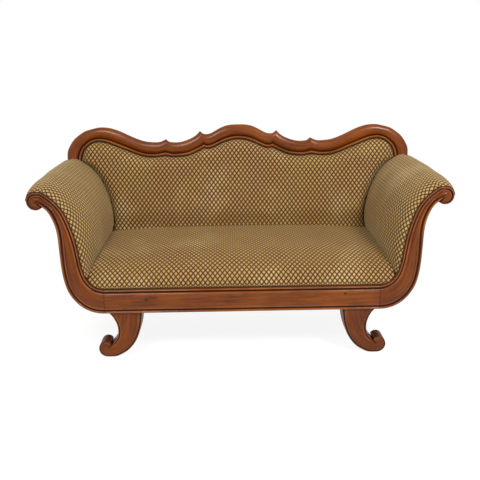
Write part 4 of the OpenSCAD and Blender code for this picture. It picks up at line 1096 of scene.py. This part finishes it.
# %% Bottom lining
EDGE = 8.0
foot_inside, foot_rear = foot_x - EDGE, FRONT + FOOT_BACK + FOOT_T + AIR
rear_inside, rear_start = HALF - REAR_FOOT - EDGE, back_y(FOOT_H) - EDGE
x_lines = join([
    np.linspace(0, foot_inside, 12), [HALF - FOOT_W / 2, rear_inside, HALF - EDGE],
])
x_lines = join([-x_lines[:0:-1], x_lines])
y_lines = join([
    [FRONT + RAIL_T - EDGE], np.linspace(foot_rear, rear_start, 12), [back_y(FOOT_H) + EDGE],
])
grid = xyz(x_lines, y_lines[:, None], FOOT_H - CLOTH_T)
cells = corners(*grid.shape[:2])
x, y, _ = grid.reshape(-1, 3)[cells].mean(axis=1).T
at_front = (y < foot_rear) & (abs(x) > foot_inside)
at_rear = (y > rear_start) & (abs(x) > rear_inside)
cells = cells[~(at_front | at_rear)]
used, faces = np.unique(cells, return_inverse=True)
faces = faces.reshape(-1, 4)
points = grid.reshape(-1, 3)[used]
uv = points[faces.ravel(), :2] / 1000
lining = make("bottom_lining_cloth", points, faces.tolist(), uv, lining_finish)
thick = lining.modifiers.new("thickness", "SOLIDIFY")
thick.thickness, thick.offset = CLOTH_T / 1000, 1.0
settle(lining, "bottom_lining", "bottom_cloth")
cut = tuple(round(float(lines[-1] - lines[0]) / 1000, 3) for lines in (x_lines, y_lines))
area_of(grid, cells)
print("lining is", cut, "with an area of", area_of(grid, cells))

# %% [markdown]
# ## Finishes for the frame
# The frame inside keeps its CAD solids. Each gets the finish of what it is made of, by putting the
# material in its slot. A name that ends in _ stands for a left and a right one.

# %% Frame finishes
finishes = {
    plain_mahogany: "side_apron_ rear_foot_ back_stile_",
    beech: "rear_rail side_rail_ arm_base_rail_ webbing_battens seat_brace corner_blocks "
           "foot_tenons rail_tenons crest_tenons arm_pole_ back_bottom_rail",
    jute: "seat_webbing seat_hessian back_webbing back_hessian arm_webbing_ arm_hessian_",
    wire: "seat_springs corner_screws",
}
for finish, names in finishes.items():
    for name in names.split():
        for end in ("left", "right") if name.endswith("_") else ("",):
            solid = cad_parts[name + end].data
            solid.materials.clear()
            solid.materials.append(finish)
print("the frame's solids have", len(finishes), "finishes")

# %% [markdown]
# ## The floor and the world
# To the camera most of the floor's white is a glow and the rest is lit, so the shadow stays faint,
# as in the photograph. Every other ray meets a plain pale floor, so the glow lights nothing.

# %% Floor and world
GLOW, ROOM, FLOOR_HALF = 0.87, 0.61, 30.0


def seen(tree):
    """1 for a ray from the camera, or one that a glossy or clear surface sends on."""
    path = tree.nodes.new("ShaderNodeLightPath")
    share = path.outputs["Is Camera Ray"]
    for other in ("Is Glossy Ray", "Is Transmission Ray"):
        most = tree.nodes.new("ShaderNodeMath")
        most.operation = "MAXIMUM"
        tree.links.new(share, most.inputs[0])
        tree.links.new(path.outputs[other], most.inputs[1])
        share = most.outputs[0]
    return share


paper = Finish("floor_paper", Roughness=1.0, Specular_IOR_Level=0.0)
straight = Wire(paper, seen(paper.tree))
pale = paper.blend(paper.noise(paper.place(), 3.0), (0.66, 0.66, 0.66), (0.69, 0.69, 0.69))
paper.wear(
    Base_Color=paper.blend(straight, pale, (0.24, 0.24, 0.24)), Emission_Color=(1, 1, 1, 1),
    Emission_Strength=straight * GLOW,
)
ground = bpy.data.meshes.new("floor")
square = [(x * FLOOR_HALF, y * FLOOR_HALF, 0) for x, y in ((-1, -1), (1, -1), (1, 1), (-1, 1))]
ground.from_pydata(square, [], [(0, 1, 2, 3)])
ground.materials.append(paper.material)
floor = add("floor", ground)

world = bpy.data.worlds.new("pale_room")
world.use_nodes = True
scene.world = world
nodes, links = world.node_tree.nodes, world.node_tree.links
nodes.clear()
both, output = nodes.new("ShaderNodeMixShader"), nodes.new("ShaderNodeOutputWorld")
links.new(seen(world.node_tree), both.inputs[0])
for slot, colour, strength in ((1, (1.0, 0.98, 0.95, 1), ROOM), (2, (1, 1, 1, 1), 1.0)):
    light = nodes.new("ShaderNodeBackground")
    light.inputs[0].default_value, light.inputs[1].default_value = colour, strength
    links.new(light.outputs[0], both.inputs[slot])
links.new(both.outputs[0], output.inputs[0])
print("floor and world made")
